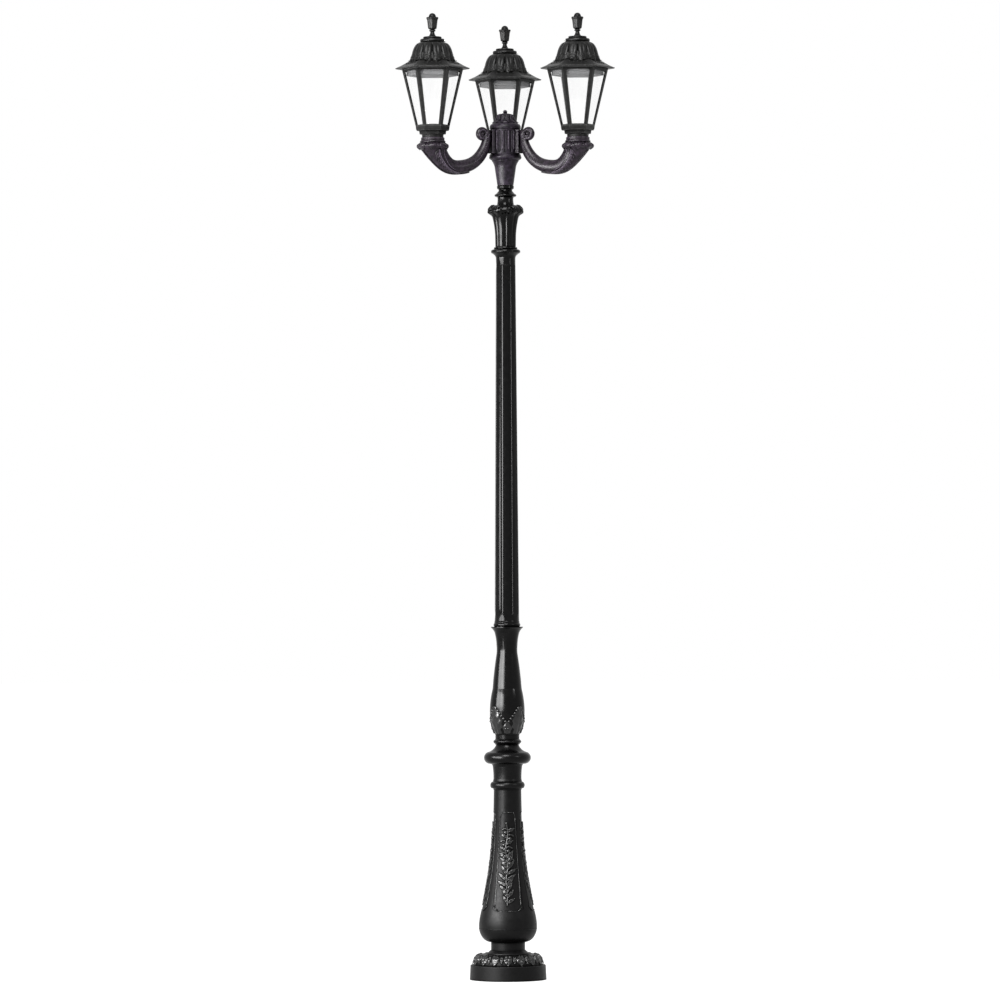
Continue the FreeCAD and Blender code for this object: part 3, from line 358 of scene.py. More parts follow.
def clear_pane():
    """Clear acrylic with a faint film of dust and fine rubbed streaks."""
    look = Shading("clear_panes")
    look.set(Base_Color=(0.93, 0.94, 0.94, 1), Specular_IOR_Level=0.5)
    film = look.noise(0.03, 4.0, (1.0, 1.0, 0.35))
    look.feed(
        Alpha=look.spread(film, 0.012, 0.045),
        Roughness=look.spread(look.noise(0.012, 5.0), 0.04, 0.16))
    look.bump((film, 0.0005, 0.05))
    return look.material


def plain_finish(name, dark, light, roughness, metallic, grain, depth, strength, stretch=None):
    """Metal or plastic with grain of that size, varied colour and roughness, and slight relief."""
    look = Shading(name)
    look.set(Metallic=metallic)
    pattern = look.noise(grain, 4.0, stretch)
    look.feed(
        Base_Color=look.ramp(pattern, [(0.3, dark), (0.7, light)]),
        Roughness=look.spread(pattern, roughness - 0.07, roughness + 0.07))
    look.bump((pattern, depth, strength))
    return look.material


# The last colour given to hub_paint, arm_paint and lantern_paint is a painted highlight on their sharp
# edges.
MATERIALS = {
    "post_paint": cast_paint(
        "post_paint", (0.0008, 0.0008, 0.0009), (0.0028, 0.0027, 0.0028), (0.010, 0.010, 0.010),
        roughness=0.17, specular=0.11, waves=0.02, pit_size=0.003, pits=0.02, hollow=0.008,
        splash=SPLASH_WEAR, grain=0.06),
    # The carved relief's copy of post_paint, lighter and shinier: painted highlight on the same paint.
    "post_relief_highlight": cast_paint(
        "post_relief_highlight", (0.0012, 0.0012, 0.0012), (0.005, 0.005, 0.005), (0.010, 0.010, 0.010),
        roughness=0.22, specular=0.40, waves=0.02, pit_size=0.003, pits=0.02, hollow=0.003,
        splash=0.0, grain=0.1),
    "hub_paint": cast_paint(
        "hub_paint", (0.006, 0.0045, 0.0075), (0.042, 0.031, 0.049), (0.09, 0.075, 0.10),
        roughness=0.38, specular=0.12, waves=0.08, pit_size=0.006, pits=0.4, hollow=0.045,
        splash=0.0, grain=0.3, edge_highlight=(0.30, 0.25, 0.32)),
    "arm_paint": cast_paint(
        "arm_paint", (0.006, 0.004, 0.0065), (0.038, 0.026, 0.041), (0.09, 0.07, 0.095),
        roughness=0.36, specular=0.18, waves=0.08, pit_size=0.007, pits=0.5, hollow=0.024,
        splash=0.0, grain=0.3, edge_highlight=(0.22, 0.18, 0.24)),
    "lantern_paint": cast_paint(
        "lantern_paint", (0.004, 0.004, 0.004), (0.015, 0.015, 0.0145), (0.035, 0.035, 0.034),
        roughness=0.38, specular=0.14, waves=0.04, pit_size=0.004, pits=0.08, hollow=0.022,
        splash=0.0, grain=0.2, edge_highlight=(0.16, 0.16, 0.158)),
    "ceiling_paint": plain_finish(
        "ceiling_paint", (0.16, 0.16, 0.165), (0.20, 0.20, 0.205),
        roughness=0.6, metallic=0.0, grain=0.008, depth=0.0003, strength=0.2),
    "galvanised_steel": plain_finish(
        "galvanised_steel", (0.42, 0.43, 0.45), (0.60, 0.61, 0.62),
        roughness=0.42, metallic=0.9, grain=0.012, depth=0.0002, strength=0.2),
    "zinc_hardware": plain_finish(
        "zinc_hardware", (0.50, 0.50, 0.48), (0.66, 0.66, 0.63),
        roughness=0.35, metallic=1.0, grain=0.002, depth=0.0001, strength=0.2, stretch=(1, 1, 6)),
    "brass_screws": plain_finish(
        "brass_screws", (0.60, 0.42, 0.16), (0.78, 0.60, 0.28),
        roughness=0.35, metallic=1.0, grain=0.002, depth=0.0001, strength=0.2),
    "white_plastic": plain_finish(
        "white_plastic", (0.74, 0.74, 0.72), (0.80, 0.80, 0.78),
        roughness=0.45, metallic=0.0, grain=0.0015, depth=0.0001, strength=0.25),
    "lamp_plastic": plain_finish(
        "lamp_plastic", (0.82, 0.82, 0.80), (0.87, 0.87, 0.85),
        roughness=0.22, metallic=0.0, grain=0.004, depth=0.0001, strength=0.1),
    "clear_panes": clear_pane(),
    "seal_rubber": plain_finish(
        "seal_rubber", (0.012, 0.012, 0.012), (0.025, 0.025, 0.025),
        roughness=0.7, metallic=0.0, grain=0.002, depth=0.0002, strength=0.4),
}


def dress_nodes():
    """Each carried-over node takes the material of its slot."""
    for part in frame["record"]["subparts"]:
        node = nodes[part["node"]]
        node.data.materials.clear()
        node.data.materials.append(MATERIALS[part["material_slot"]])


dress_nodes()


# Carved relief, laid on the solids

LEAST_RADIUS = 0.01       # of turned pieces, in metres
LEAF_LEAST = 0.02         # a leaf's width at its tip, as a share of its widest
LEAF_FOOT = 0.55          # its width and its crown's height at its foot
LEAF_FULLEST = 1.15
LEAF_NOTCH = 0.28
VEIN_RISE = 0.22
VEIN_SLANT = 0.22
GROOVE_DEPTH = 0.45
GROOVE_HALF = 0.13
CURL_START = 0.7          # share of the leaf's length
EDGE_DIP = 0.15
PETAL_SHARE = 0.93        # of its share of the turn
PETAL_TIP_START = 0.86
PETAL_TIP_NARROWING = 0.35
PETAL_RIB = 0.3
PETAL_RIB_HALF = 0.14

LeafForm = namedtuple("LeafForm", "half_width thick lobes curl rows columns")
PetalForm = namedtuple("PetalForm", "thick rows columns")


def evenly(start, end, steps):
    """steps + 1 values from start to end."""
    return [start + (end - start) * k / steps for k in range(steps + 1)]


def foot_of(name):
    """Height of a node's foot, to a tenth of a millimetre."""
    return round(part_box(name)[0].z, 4)


def past(value, start):
    """How far the value has gone from start to 1, as a share, and 0 before start."""
    return max(0.0, (value - start) / (1 - start))


class Surface:
    """Finds points on a node's skin by looking in from outside, square to an axis or along a line."""

    def __init__(self, *names, centre=(0.0, 0.0), reach=0.6):
        points, faces = [], []
        for name in names:
            mesh = nodes[name].data
            first = len(points)
            points.extend(v.co.copy() for v in mesh.vertices)
            faces.extend([first + i for i in p.vertices] for p in mesh.polygons)
        self.tree = BVHTree.FromPolygons(points, faces)
        self.centre = Vector((*centre, 0.0))
        self.reach = reach

    def at(self, degrees, height, lift=0.0):
        """The outermost skin at that bearing and height, and lift metres out from it."""
        angle = math.radians(degrees)
        outward = Vector((math.cos(angle), math.sin(angle), 0.0))
        start = self.centre + outward * self.reach + Vector((0, 0, height))
        return self.along(start, -outward, lift)

    def along(self, start, direction, lift=0.0):
        hit, normal, _, _ = self.tree.ray_cast(start, direction)
        if hit is None:
            return start + direction * self.reach
        if normal.dot(direction) > 0:
            normal = -normal
        return hit + normal * lift

    def beside(self, degrees, sideways, height, lift):
        """The skin at that height and that far sideways, to the right, of a bearing."""
        return self.at(degrees + math.degrees(sideways / self.radius(degrees, height)), height, lift)

    def outward(self, point):
        """The level way out from the axis to a point."""
        return point - self.centre - Vector((0, 0, point.z))

    def radius(self, degrees, height):
        return max(LEAST_RADIUS, self.outward(self.at(degrees, height)).length)


class Relief:
    """Collects carved patches, bars and beads into one mesh."""

    def __init__(self):
        self.points = []
        self.faces = []

    def patch(self, place, rows, columns):
        """A grid over place(u, v), with u from -1 to 1 across and v from 0 to 1 along."""
        first = len(self.points)
        for j in range(rows + 1):
            for i in range(columns + 1):
                self.points.append(place(2 * i / columns - 1, j / rows))
        for j in range(rows):
            for i in range(columns):
                a = first + j * (columns + 1) + i
                self.faces.append((a, a + 1, a + columns + 2, a + columns + 1))

    def skin_rings(self, first, rings, sides):
        """Faces round a stack of rings of points, from the point numbered first."""
        for k in range(rings - 1):
            for s in range(sides):
                a = first + k * sides + s
                b = first + k * sides + (s + 1) % sides
                self.faces.append((a, b, b + sides, a + sides))

    def bar(self, path, radii, sides=8):
        """A round bar along a path, closed at both ends, with a radius for each point."""
        first = len(self.points)
        side = Vector((0.31, 0.17, 0.93))     # a way that no path takes
        for k, point in enumerate(path):
            ahead = path[min(k + 1, len(path) - 1)] - path[max(k - 1, 0)]
            across = ahead.cross(side).normalized()
            upward = across.cross(ahead).normalized()
            for s in range(sides):
                turn = 2 * math.pi * s / sides
                spoke = across * math.cos(turn) + upward * math.sin(turn)
                self.points.append(point + spoke * radii[k])
        self.skin_rings(first, len(path), sides)
        self.faces.append(tuple(first + s for s in reversed(range(sides))))
        self.faces.append(tuple(first + (len(path) - 1) * sides + s for s in range(sides)))

    def bead(self, centre, outward, radius, height, rings=4, sides=10):
        """A domed bead that stands on the skin."""
        first = len(self.points)
        out = outward.normalized()
        across = out.orthogonal().normalized()
        along = out.cross(across)
        for k in range(rings):
            rise = k / rings * math.pi / 2
            for s in range(sides):
                turn = 2 * math.pi * s / sides
                flat = (across * math.cos(turn) + along * math.sin(turn)) * radius * math.cos(rise)
                self.points.append(centre + flat + out * height * math.sin(rise))
        self.points.append(centre + out * height)
        self.skin_rings(first, rings, sides)
        top = len(self.points) - 1
        last = first + (rings - 1) * sides
        for s in range(sides):
            self.faces.append((last + s, last + (s + 1) % sides, top))

    def build(self, name, body, slot, look=None):
        """Makes the piece, which moves with that body and takes the material of that slot, or of look, its
        own material, when look is given.
        """
        mesh = bpy.data.meshes.new(name)
        mesh.from_pydata(self.points, [], self.faces)
        mesh.validate()
        mesh.shade_smooth()
        mesh.materials.append(MATERIALS[look or slot])
        piece = bpy.data.objects.new(name, mesh)
        bpy.context.scene.collection.objects.link(piece)
        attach(piece, body)


def leaf_half_width(v, lobes):
    """Half width of a lobed leaf, as a share of its widest, from its foot (0) to its tip (1)."""
    swell = math.sin(math.pi * min(1.0, v * LEAF_FULLEST))
    body = (LEAF_FOOT + (1 - LEAF_FOOT) * swell) * (1 - v ** 4) ** 0.5
    notch = 0.5 + 0.5 * math.cos(2 * math.pi * (lobes * v + 0.5))
    return max(LEAF_LEAST, body * (1 - LEAF_NOTCH * notch * (1 - v)))


def leaf_lift(u, v, thick, lobes, curl):
    """How far a leaf stands off its ground: crowned, veined, grooved down its middle, curled at its tip."""
    across = abs(u)
    dome = 1 - across ** 4
    crown = LEAF_FOOT + (1 - LEAF_FOOT) * math.sin(math.pi * min(1.0, v + 0.15))
    ripple = math.cos(2 * math.pi * lobes * (v - VEIN_SLANT * across)) * min(1.0, 2.5 * across)
    groove = GROOVE_DEPTH * math.exp(-(u / GROOVE_HALF) ** 2) * (1 - v)
    tip = curl * past(v, CURL_START) ** 2
    return thick * (dome * (crown + VEIN_RISE * ripple) - groove + tip - EDGE_DIP * across ** 12)


def turned_leaf(relief, surface, degrees, foot, tip, form):
    """Adds a leaf on a turned piece, from height foot to height tip."""
    way = -1 if tip < foot else 1

    def place(u, v):
        height = foot + (tip - foot) * v
        arc = math.degrees(form.half_width / surface.radius(degrees, height))
        bearing = degrees + way * u * arc * leaf_half_width(v, form.lobes)
        return surface.at(bearing, height, leaf_lift(u, v, form.thick, form.lobes, form.curl))

    relief.patch(place, form.rows, form.columns)


def flat_leaf(relief, surface, degrees, start, heading, length, form):
    """Adds a small leaf on a wall, from (sideways, height), heading degrees to the right of straight up."""
    turn = math.radians(heading)
    radius = surface.radius(degrees, start[1])

    def place(u, v):
        along = length * v
        across = form.half_width * u * leaf_half_width(v, form.lobes)
        sideways = start[0] + along * math.sin(turn) + across * math.cos(turn)
        height = start[1] + along * math.cos(turn) - across * math.sin(turn)
        lift = leaf_lift(u, v, form.thick, form.lobes, form.curl)
        return surface.at(degrees + math.degrees(sideways / radius), height, lift)

    relief.patch(place, form.rows, form.columns)


def turned_petal(relief, surface, degrees, foot, tip, count, form):
    """Adds a long plain petal, one of count round a turned piece, with a rib along its middle."""

    def place(u, v):
        share = PETAL_SHARE * (1 - PETAL_TIP_NARROWING * past(v, PETAL_TIP_START) ** 2)
        bearing = degrees + u * share * 180.0 / count
        crown = math.sqrt(max(0.0, 1 - u * u)) + PETAL_RIB * math.exp(-(u / PETAL_RIB_HALF) ** 2)
        lift = form.thick * (crown * (0.75 + 0.25 * v) - 0.1)
        return surface.at(bearing, foot + (tip - foot) * v, lift)

    relief.patch(place, form.rows, form.columns)


def wall_path(surface, degrees, points, lift):
    """A path over a wall, through (sideways, height) places."""
    return [surface.beside(degrees, sideways, height, lift) for sideways, height in points]


def berry(relief, surface, degrees, height, radius):
    spot = surface.at(degrees, height, 0.0008)
    relief.bead(spot, surface.outward(spot), radius, 0.7 * radius)


# Foot, pedestal, baluster and capital

FOOT_LEAVES = 16
FOOT_SHOULDER = 0.0355    # above the leaf collar's foot
FOOT_LEAF = LeafForm(half_width=0.020, thick=0.0048, lobes=3, curl=0.7, rows=26, columns=14)
FOOT_BUD = LeafForm(half_width=0.008, thick=0.0055, lobes=2, curl=0.9, rows=18, columns=8)

PEDESTAL_FRONTS = (270.0, 0.0, 90.0, 180.0)
PEDESTAL_FOOT = foot_of("pedestal")
DROP_LOW = PEDESTAL_FOOT + 0.205
DROP_HIGH = PEDESTAL_FOOT + 0.494
PANEL_LOW = PEDESTAL_FOOT + 0.189
PANEL_HIGH = PEDESTAL_FOOT + 0.527
PANEL_LOW_HALF = 0.0467
PANEL_HIGH_HALF = 0.0208
PANEL_TICK = 0.010        # how far in from the panel's side its lower tick starts
BEAD_R = 0.0013
BEAD_PITCH = 0.012
STEM_STEPS = 60
STEM_WAVES = 2.6
STEM_SWAY = 0.004
STEM_SHIFT = -0.003       # the stem hangs a little to the left of the panel's middle
VINE_LEAVES = 9
VINE_LEAF_SPAN = 0.60     # share of the drop
VINE_LEAF = LeafForm(half_width=0.0082, thick=0.0046, lobes=2, curl=0.4, rows=12, columns=8)
CURL_LEAF = LeafForm(half_width=0.0085, thick=0.0046, lobes=2, curl=0.4, rows=12, columns=8)
CURL_LEAF_LENGTH = 0.026
CURL_LEAF_HEADING = 62.0
VINE_CURLS = 6
CURL_START_SHARE = 0.52
CURL_SPAN = 0.44
CURL_SIZE = 0.0150
CURL_SHRINK = 0.0005      # from one curl to the next above
TENDRIL_STEPS = 14
TENDRIL_TURN = 4.4        # radians
TENDRIL_START = 0.3
TENDRIL_SHRINK = 0.72
TENDRIL_BERRY_R = 0.0068
TENDRIL_BERRY_H = 0.0050

BALUSTER_FOOT = foot_of("baluster")
BALUSTER_LEAF_FOOT = BALUSTER_FOOT + 0.005
BALUSTER_LEAF_TIP = BALUSTER_FOOT + 0.098
BALUSTER_BUD_TIP = BALUSTER_FOOT + 0.047
BALUSTER_BERRY = BALUSTER_FOOT + 0.022
TALL_LEAF = LeafForm(half_width=0.030, thick=0.0040, lobes=4, curl=0.9, rows=34, columns=16)
SHORT_LEAF = LeafForm(half_width=0.018, thick=0.0034, lobes=2, curl=0.9, rows=22, columns=12)
LOW_BERRY_R = 0.0052
EDGE_BERRY_R = 0.0048
EDGE_BERRIES = 6
EDGE_BERRY_START = 6.0    # degrees from the short leaf's middle
EDGE_BERRY_SPAN = 34.0

CAPITAL_LOBES = 8
CAPITAL_FOOT = foot_of("capital")
CAPITAL_NECK_FOOT = CAPITAL_FOOT + 0.042
CAPITAL_LIP = CAPITAL_FOOT + 0.165
CAPITAL_PETAL = PetalForm(thick=0.0034, rows=44, columns=12)
LIP_LEAF = LeafForm(half_width=0.015, thick=0.0030, lobes=2, curl=0.6, rows=16, columns=10)


def foot_leaves():
    """Leaves that curl down over the foot's shoulder, with a bud between each pair."""
    surface = Surface("leaf_collar", "foot_drum")
    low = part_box("leaf_collar")[0].z
    shoulder = low + FOOT_SHOULDER
    relief = Relief()
    for k in range(FOOT_LEAVES):
        bearing = 360.0 * k / FOOT_LEAVES
        turned_leaf(relief, surface, bearing, shoulder, low + 0.003, FOOT_LEAF)
        between = bearing + 180.0 / FOOT_LEAVES
        turned_leaf(relief, surface, between, shoulder - 0.004, low + 0.008, FOOT_BUD)
    relief.build("foot_leaves", "post", "post_paint", "post_relief_highlight")


def panel_bead(relief, surface, degrees):
    """A thin bead along the sunk panel's edge, chamfered above and ticked outward below."""
    outline = [
        (0, PANEL_HIGH), (PANEL_HIGH_HALF, PANEL_HIGH), (PANEL_HIGH_HALF + 0.005, PANEL_HIGH - 0.016),
        (PANEL_LOW_HALF, PANEL_LOW + 0.012), (PANEL_LOW_HALF - PANEL_TICK, PANEL_LOW), (0, PANEL_LOW)]
    for turn in (-1, 1):
        corners = [(turn * sideways, height) for sideways, height in outline]
        for (x0, z0), (x1, z1) in zip(corners, corners[1:]):
            steps = 2 + int(abs(z1 - z0) / BEAD_PITCH)
            line = zip(evenly(x0, x1, steps), evenly(z0, z1, steps))
            relief.bar(wall_path(surface, degrees, line, 0.0003), [BEAD_R] * (steps + 1), 6)
        low = (turn * (PANEL_LOW_HALF - PANEL_TICK), PANEL_LOW)
        tick = (turn * (PANEL_LOW_HALF + 0.006), PANEL_LOW + 0.018)
        relief.bar(wall_path(surface, degrees, [low, tick], 0.0012), [0.0016, 0.0012], 6)


def drop_height(share):
    return DROP_LOW + (DROP_HIGH - DROP_LOW) * share


def stem_offset(share):
    """Sideways sway of the vine's stem, from its hanging tip (0) to its head (1)."""
    return STEM_SWAY * math.sin(2 * math.pi * STEM_WAVES * share) * (0.5 + 0.5 * share) + STEM_SHIFT


def tendril(relief, surface, degrees, start, side, size):
    """A curl beside the vine's stem that ends in a berry."""
    middle, height = start
    path = []
    for share in evenly(0.0, 1.0, TENDRIL_STEPS):
        turn = TENDRIL_TURN * share + TENDRIL_START
        radius = size * (1 - TENDRIL_SHRINK * share)
        sideways = middle + side * (0.6 * size + radius * math.cos(turn))
        path.append((sideways, height + radius * math.sin(turn)))
    relief.bar(wall_path(surface, degrees, path, 0.0006), evenly(0.0036, 0.0028, TENDRIL_STEPS), 6)
    sideways = path[-1][0]
    bearing = degrees + math.degrees(sideways / surface.radius(degrees, height))
    end = surface.at(bearing, path[-1][1], 0.001)
    relief.bead(end, surface.outward(end), TENDRIL_BERRY_R, TENDRIL_BERRY_H)


def vine(surface, degrees):
    """Hanging vine in one sunk panel: an ear of slanting leaves below, curls and berries above."""
    relief = Relief()
    stem = [(stem_offset(share), drop_height(share)) for share in evenly(0.0, 1.0, STEM_STEPS)]
    relief.bar(wall_path(surface, degrees, stem, 0.0014), evenly(0.0020, 0.0032, STEM_STEPS))
    first_leaf = 0.012 / (DROP_HIGH - DROP_LOW)
    for k in range(VINE_LEAVES):
        up = k / VINE_LEAVES
        share = first_leaf + VINE_LEAF_SPAN * up
        start = (stem_offset(share), drop_height(share))
        length = 0.031 + 0.010 * math.sin(math.pi * up)
        for side in (-1, 1):
            heading = side * (46 + 16 * math.sin(5.0 * k + side))
            flat_leaf(relief, surface, degrees, start, heading, length, VINE_LEAF)
    for k in range(VINE_CURLS):
        share = CURL_START_SHARE + CURL_SPAN * k / VINE_CURLS
        start = (stem_offset(share), drop_height(share))
        side = -1 if k % 2 else 1
        tendril(relief, surface, degrees, start, side, CURL_SIZE - CURL_SHRINK * k)
        flat_leaf(relief, surface, degrees, start, -side * CURL_LEAF_HEADING, CURL_LEAF_LENGTH, CURL_LEAF)
    panel_bead(relief, surface, degrees)
    return relief


def pedestal_vines():
    surface = Surface("pedestal")
    for number, degrees in enumerate(PEDESTAL_FRONTS):
        vine(surface, degrees).build(f"vine_{number + 1}", "post", "post_paint", "post_relief_highlight")


def baluster_leaves():
    """Four tall and four short leaves round the bulb, edged with berries."""
    surface = Surface("baluster")
    relief = Relief()
    rise = BALUSTER_LEAF_TIP - BALUSTER_BUD_TIP - 0.004
    for k in range(4):
        tall = 45.0 + 90.0 * k
        short = 90.0 * k
        turned_leaf(relief, surface, tall, BALUSTER_LEAF_FOOT, BALUSTER_LEAF_TIP, TALL_LEAF)
        turned_leaf(relief, surface, short, BALUSTER_LEAF_FOOT, BALUSTER_BUD_TIP, SHORT_LEAF)
        for side in (-1, 1):
            berry(relief, surface, short + side * 5.0, BALUSTER_BERRY, LOW_BERRY_R)
            for share in evenly(0.0, 1.0, EDGE_BERRIES - 1):
                bearing = short + side * (EDGE_BERRY_START + EDGE_BERRY_SPAN * share)
                berry(relief, surface, bearing, BALUSTER_BUD_TIP + rise * share, EDGE_BERRY_R)
    relief.build("baluster_leaves", "post", "post_paint", "post_relief_highlight")


def capital_petals():
    """A long petal on each lobe of the flared capital, and a small leaf curled over its lip."""
    surface = Surface("capital")
    relief = Relief()
    for k in range(CAPITAL_LOBES):
        bearing = 360.0 * (k + 0.5) / CAPITAL_LOBES
        turned_petal(
            relief, surface, bearing, CAPITAL_NECK_FOOT, CAPITAL_LIP, CAPITAL_LOBES, CAPITAL_PETAL)
        turned_leaf(relief, surface, bearing, CAPITAL_LIP + 0.019, CAPITAL_LIP - 0.006, LIP_LEAF)
    relief.build("capital_petals", "post", "post_paint")


# Hub and arms

CAP_LEAVES = 12
CAP_LEAF = LeafForm(half_width=0.0078, thick=0.0030, lobes=2, curl=1.1, rows=20, columns=10)
HUB_RIB_PITCH = 24.0      # degrees
HUB_RIB_MARGIN = 0.006
HUB_RIB_LENGTH = 0.066
HUB_RIB_R = 0.0017
HUB_RIB_STEPS = 12

SEAT = foot_of("lantern_base_left")       # every lantern stands on its cup at this height
ARM_BEARINGS = {"left": 210.0, "right": 330.0, "rear": 90.0}
ARM_REACH = 0.288
ARM_RAY_START = 0.07      # outside the arm's skin, from its middle line
SCROLL_EYE_OUT = 0.0922
SCROLL_EYE_HEIGHT = SEAT + 0.0305
SCROLL_TURNS = 1.6
SCROLL_STEPS = 44
SCROLL_R = 0.0205
SCROLL_EYE_R = 0.0055
SCROLL_RAY_START = 0.05
BEND_OUT = 0.1870         # the arm's lowest point
BEND_HALF = 0.1140        # half widths of the quarter ellipse from there up to the scroll
BEND_DROP = 0.1175
BEND_STEP = 22.5          # degrees
# Distance out, height above the seat and heading of the arm's middle line, from lowest point to cup
ARM_RISE = [
    (0.1870, -0.0870, 0.0), (0.2200, -0.0850, 27.0), (0.2500, -0.0670, 52.0), (0.2740, -0.0420, 75.0),
    (ARM_REACH, -0.0230, 90.0)]
# Stations count along the middle line, from 0 at the scroll; bearings are ArmSkin's
KEEL = (3.2, 7.5)
KEEL_R = 0.0034
KEEL_STEPS = 40
RIDGE = (4.1, 7.5)
RIDGE_STEPS = 40
VEIN = (4.6, 7.5)
VEIN_LOW = 120.0
VEIN_HIGH = 58.0
VEIN_R = 0.0018
VEIN_STEPS = 34
LEAF_LOW = 150.0          # bearing of the leaf's edge at its foot
LEAF_SPREAD = 58.0
TEETH_START = 4.15
TEETH_SPAN = 3.3
ARM_TEETH = 11
TOOTH_LENGTH = 0.42       # stations
TOOTH_HALF = 0.15
TOOTH_LEAN = 36.0         # degrees
TOOTH_SKEW = 5.0
TOOTH_THICK = 0.0026
TOOTH_CURL = 0.8
TOOTH_GRID = (10, 6)
ARM_BEADS = 15
ARM_BEAD_START = 0.35
ARM_BEAD_SPAN = 2.6
ARM_BEAD_BEARING = 84.0
ARM_BEAD_R = 0.0030
ARM_BEAD_H = 0.0026

CUP_PETALS = 8
CUP_TOP = SEAT - 0.0095
CUP_TIP = SEAT - 0.0315
CUP_PETAL = LeafForm(half_width=0.0185, thick=0.0042, lobes=1, curl=0.5, rows=24, columns=16)
CUP_BUD = LeafForm(half_width=0.006, thick=0.0018, lobes=1, curl=0.0, rows=14, columns=8)


def cap_leaves():
    """Leaves that fall from the knob over the hub's cap."""
    surface = Surface("hub_cap")
    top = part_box("hub_cap")[1].z
    relief = Relief()
    for k in range(CAP_LEAVES):
        bearing = 360.0 * (k + 0.5) / CAP_LEAVES
        turned_leaf(relief, surface, bearing, top - 0.006, top - 0.036, CAP_LEAF)
    relief.build("cap_leaves", "hub_cap", "hub_paint")


def hub_ribs():
    """A fine raised rib on each land between the flutes of the hub's drum."""
    surface = Surface("hub_body")
    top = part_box("hub_body")[1].z - HUB_RIB_MARGIN
    heights = evenly(top - HUB_RIB_LENGTH, top, HUB_RIB_STEPS)
    relief = Relief()
    for arm in ARM_BEARINGS.values():
        for step in (-1.5, -0.5, 0.5, 1.5):
            bearing = arm + 60.0 + step * HUB_RIB_PITCH
            path = [surface.at(bearing, height) for height in heights]
            relief.bar(path, [HUB_RIB_R] * len(path))
    relief.build("hub_ribs", "post", "hub_paint")


def arm_spine():
    """Distance out, height and heading of the stations along an arm's middle line, to the same tenth."""
    spine = []
    for degrees in evenly(0.0, 90.0 - BEND_STEP, 3):
        turn = math.radians(degrees)
        spine.append((
            round(BEND_OUT - BEND_HALF * math.cos(turn), 4),
            round(SCROLL_EYE_HEIGHT - BEND_DROP * math.sin(turn), 4),
            degrees - 90.0))
    return spine + [(out, SEAT + rise, heading) for out, rise, heading in ARM_RISE]


def smooth_between(stations, share):
    """A point of the smooth curve through the stations, share counted in stations."""
    last = len(stations) - 1
    k = min(int(share), last - 1)
    t = share - k
    before, here = Vector(stations[max(k - 1, 0)]), Vector(stations[k])
    there, after = Vector(stations[k + 1]), Vector(stations[min(k + 2, last)])
    bend = (2 * before - 5 * here + 4 * there - after) * t ** 2
    twist = (3 * here - before - 3 * there + after) * t ** 3
    return 0.5 * (2 * here + (there - before) * t + bend + twist)


class ArmSkin:
    """Places on one arm's skin: how many stations along its middle line, and the bearing round it, with
    0 inside the curve, 90 and -90 on its sides and 180 underneath."""

    def __init__(self, head):
        self.surface = Surface("arm_" + head)
        self.turn = Matrix.Rotation(math.radians(ARM_BEARINGS[head]), 3, "Z")
        self.spine = arm_spine()

    def at(self, station, bearing, lift=0.0):
        x, z, heading = smooth_between(self.spine, station)
        slope, around = math.radians(heading), math.radians(bearing)
        inside = Vector((-math.sin(slope), 0.0, math.cos(slope))) * math.cos(around)
        outward = self.turn @ (inside + Vector((0.0, math.sin(around), 0.0)))
        start = self.turn @ Vector((x, 0.0, z)) + outward * ARM_RAY_START
        return self.surface.along(start, -outward, lift)

    def line(self, stations, bearings, steps, lift):
        """A path that goes evenly from the first station and bearing to the last."""
        places = zip(evenly(*stations, steps), evenly(*bearings, steps))
        return [self.at(station, bearing, lift) for station, bearing in places]


def arm_leaf_edge(share):
    """Bearing of the edge of the leaf under the arm, from its foot (0) to the cup (1)."""
    return LEAF_LOW - LEAF_SPREAD * share ** 0.8


def arm_tooth(relief, skin, side, share):
    """A small tooth of the leaf that wraps the arm's underside."""
    station = TEETH_START + TEETH_SPAN * share

    def place(u, v):
        width = leaf_half_width(v, 1)
        along = station - TOOTH_LENGTH * v + TOOTH_HALF * u * width
        bearing = side * (arm_leaf_edge(share) + TOOTH_LEAN * v + TOOTH_SKEW * u * width)
        return skin.at(along, bearing, leaf_lift(u, v, TOOTH_THICK, 1, TOOTH_CURL))

    relief.patch(place, *TOOTH_GRID)


def arm_leaf(relief, skin, side):
    """One half of the leaf under the flare: its edge, a vein and its teeth."""
    edge = zip(evenly(*RIDGE, RIDGE_STEPS), evenly(0.0, 1.0, RIDGE_STEPS))
    ridge = [skin.at(station, side * arm_leaf_edge(share), 0.0006) for station, share in edge]
    relief.bar(ridge, evenly(0.0022, 0.0034, RIDGE_STEPS))
    vein = skin.line(VEIN, (side * VEIN_LOW, side * VEIN_HIGH), VEIN_STEPS, 0.0003)
    relief.bar(vein, [VEIN_R] * len(vein))
    for k in range(ARM_TEETH):
        arm_tooth(relief, skin, side, (k + 0.5) / ARM_TEETH)


def arm_beads(relief, skin, side):
    """A row of beads down one side of the arm, from the scroll."""
    for k in range(ARM_BEADS):
        station = ARM_BEAD_START + ARM_BEAD_SPAN * k / ARM_BEADS
        spot = skin.at(station, side * ARM_BEAD_BEARING, -0.0004)
        deeper = skin.at(station, side * ARM_BEAD_BEARING, -0.004)
        relief.bead(spot, spot - deeper, ARM_BEAD_R, ARM_BEAD_H)


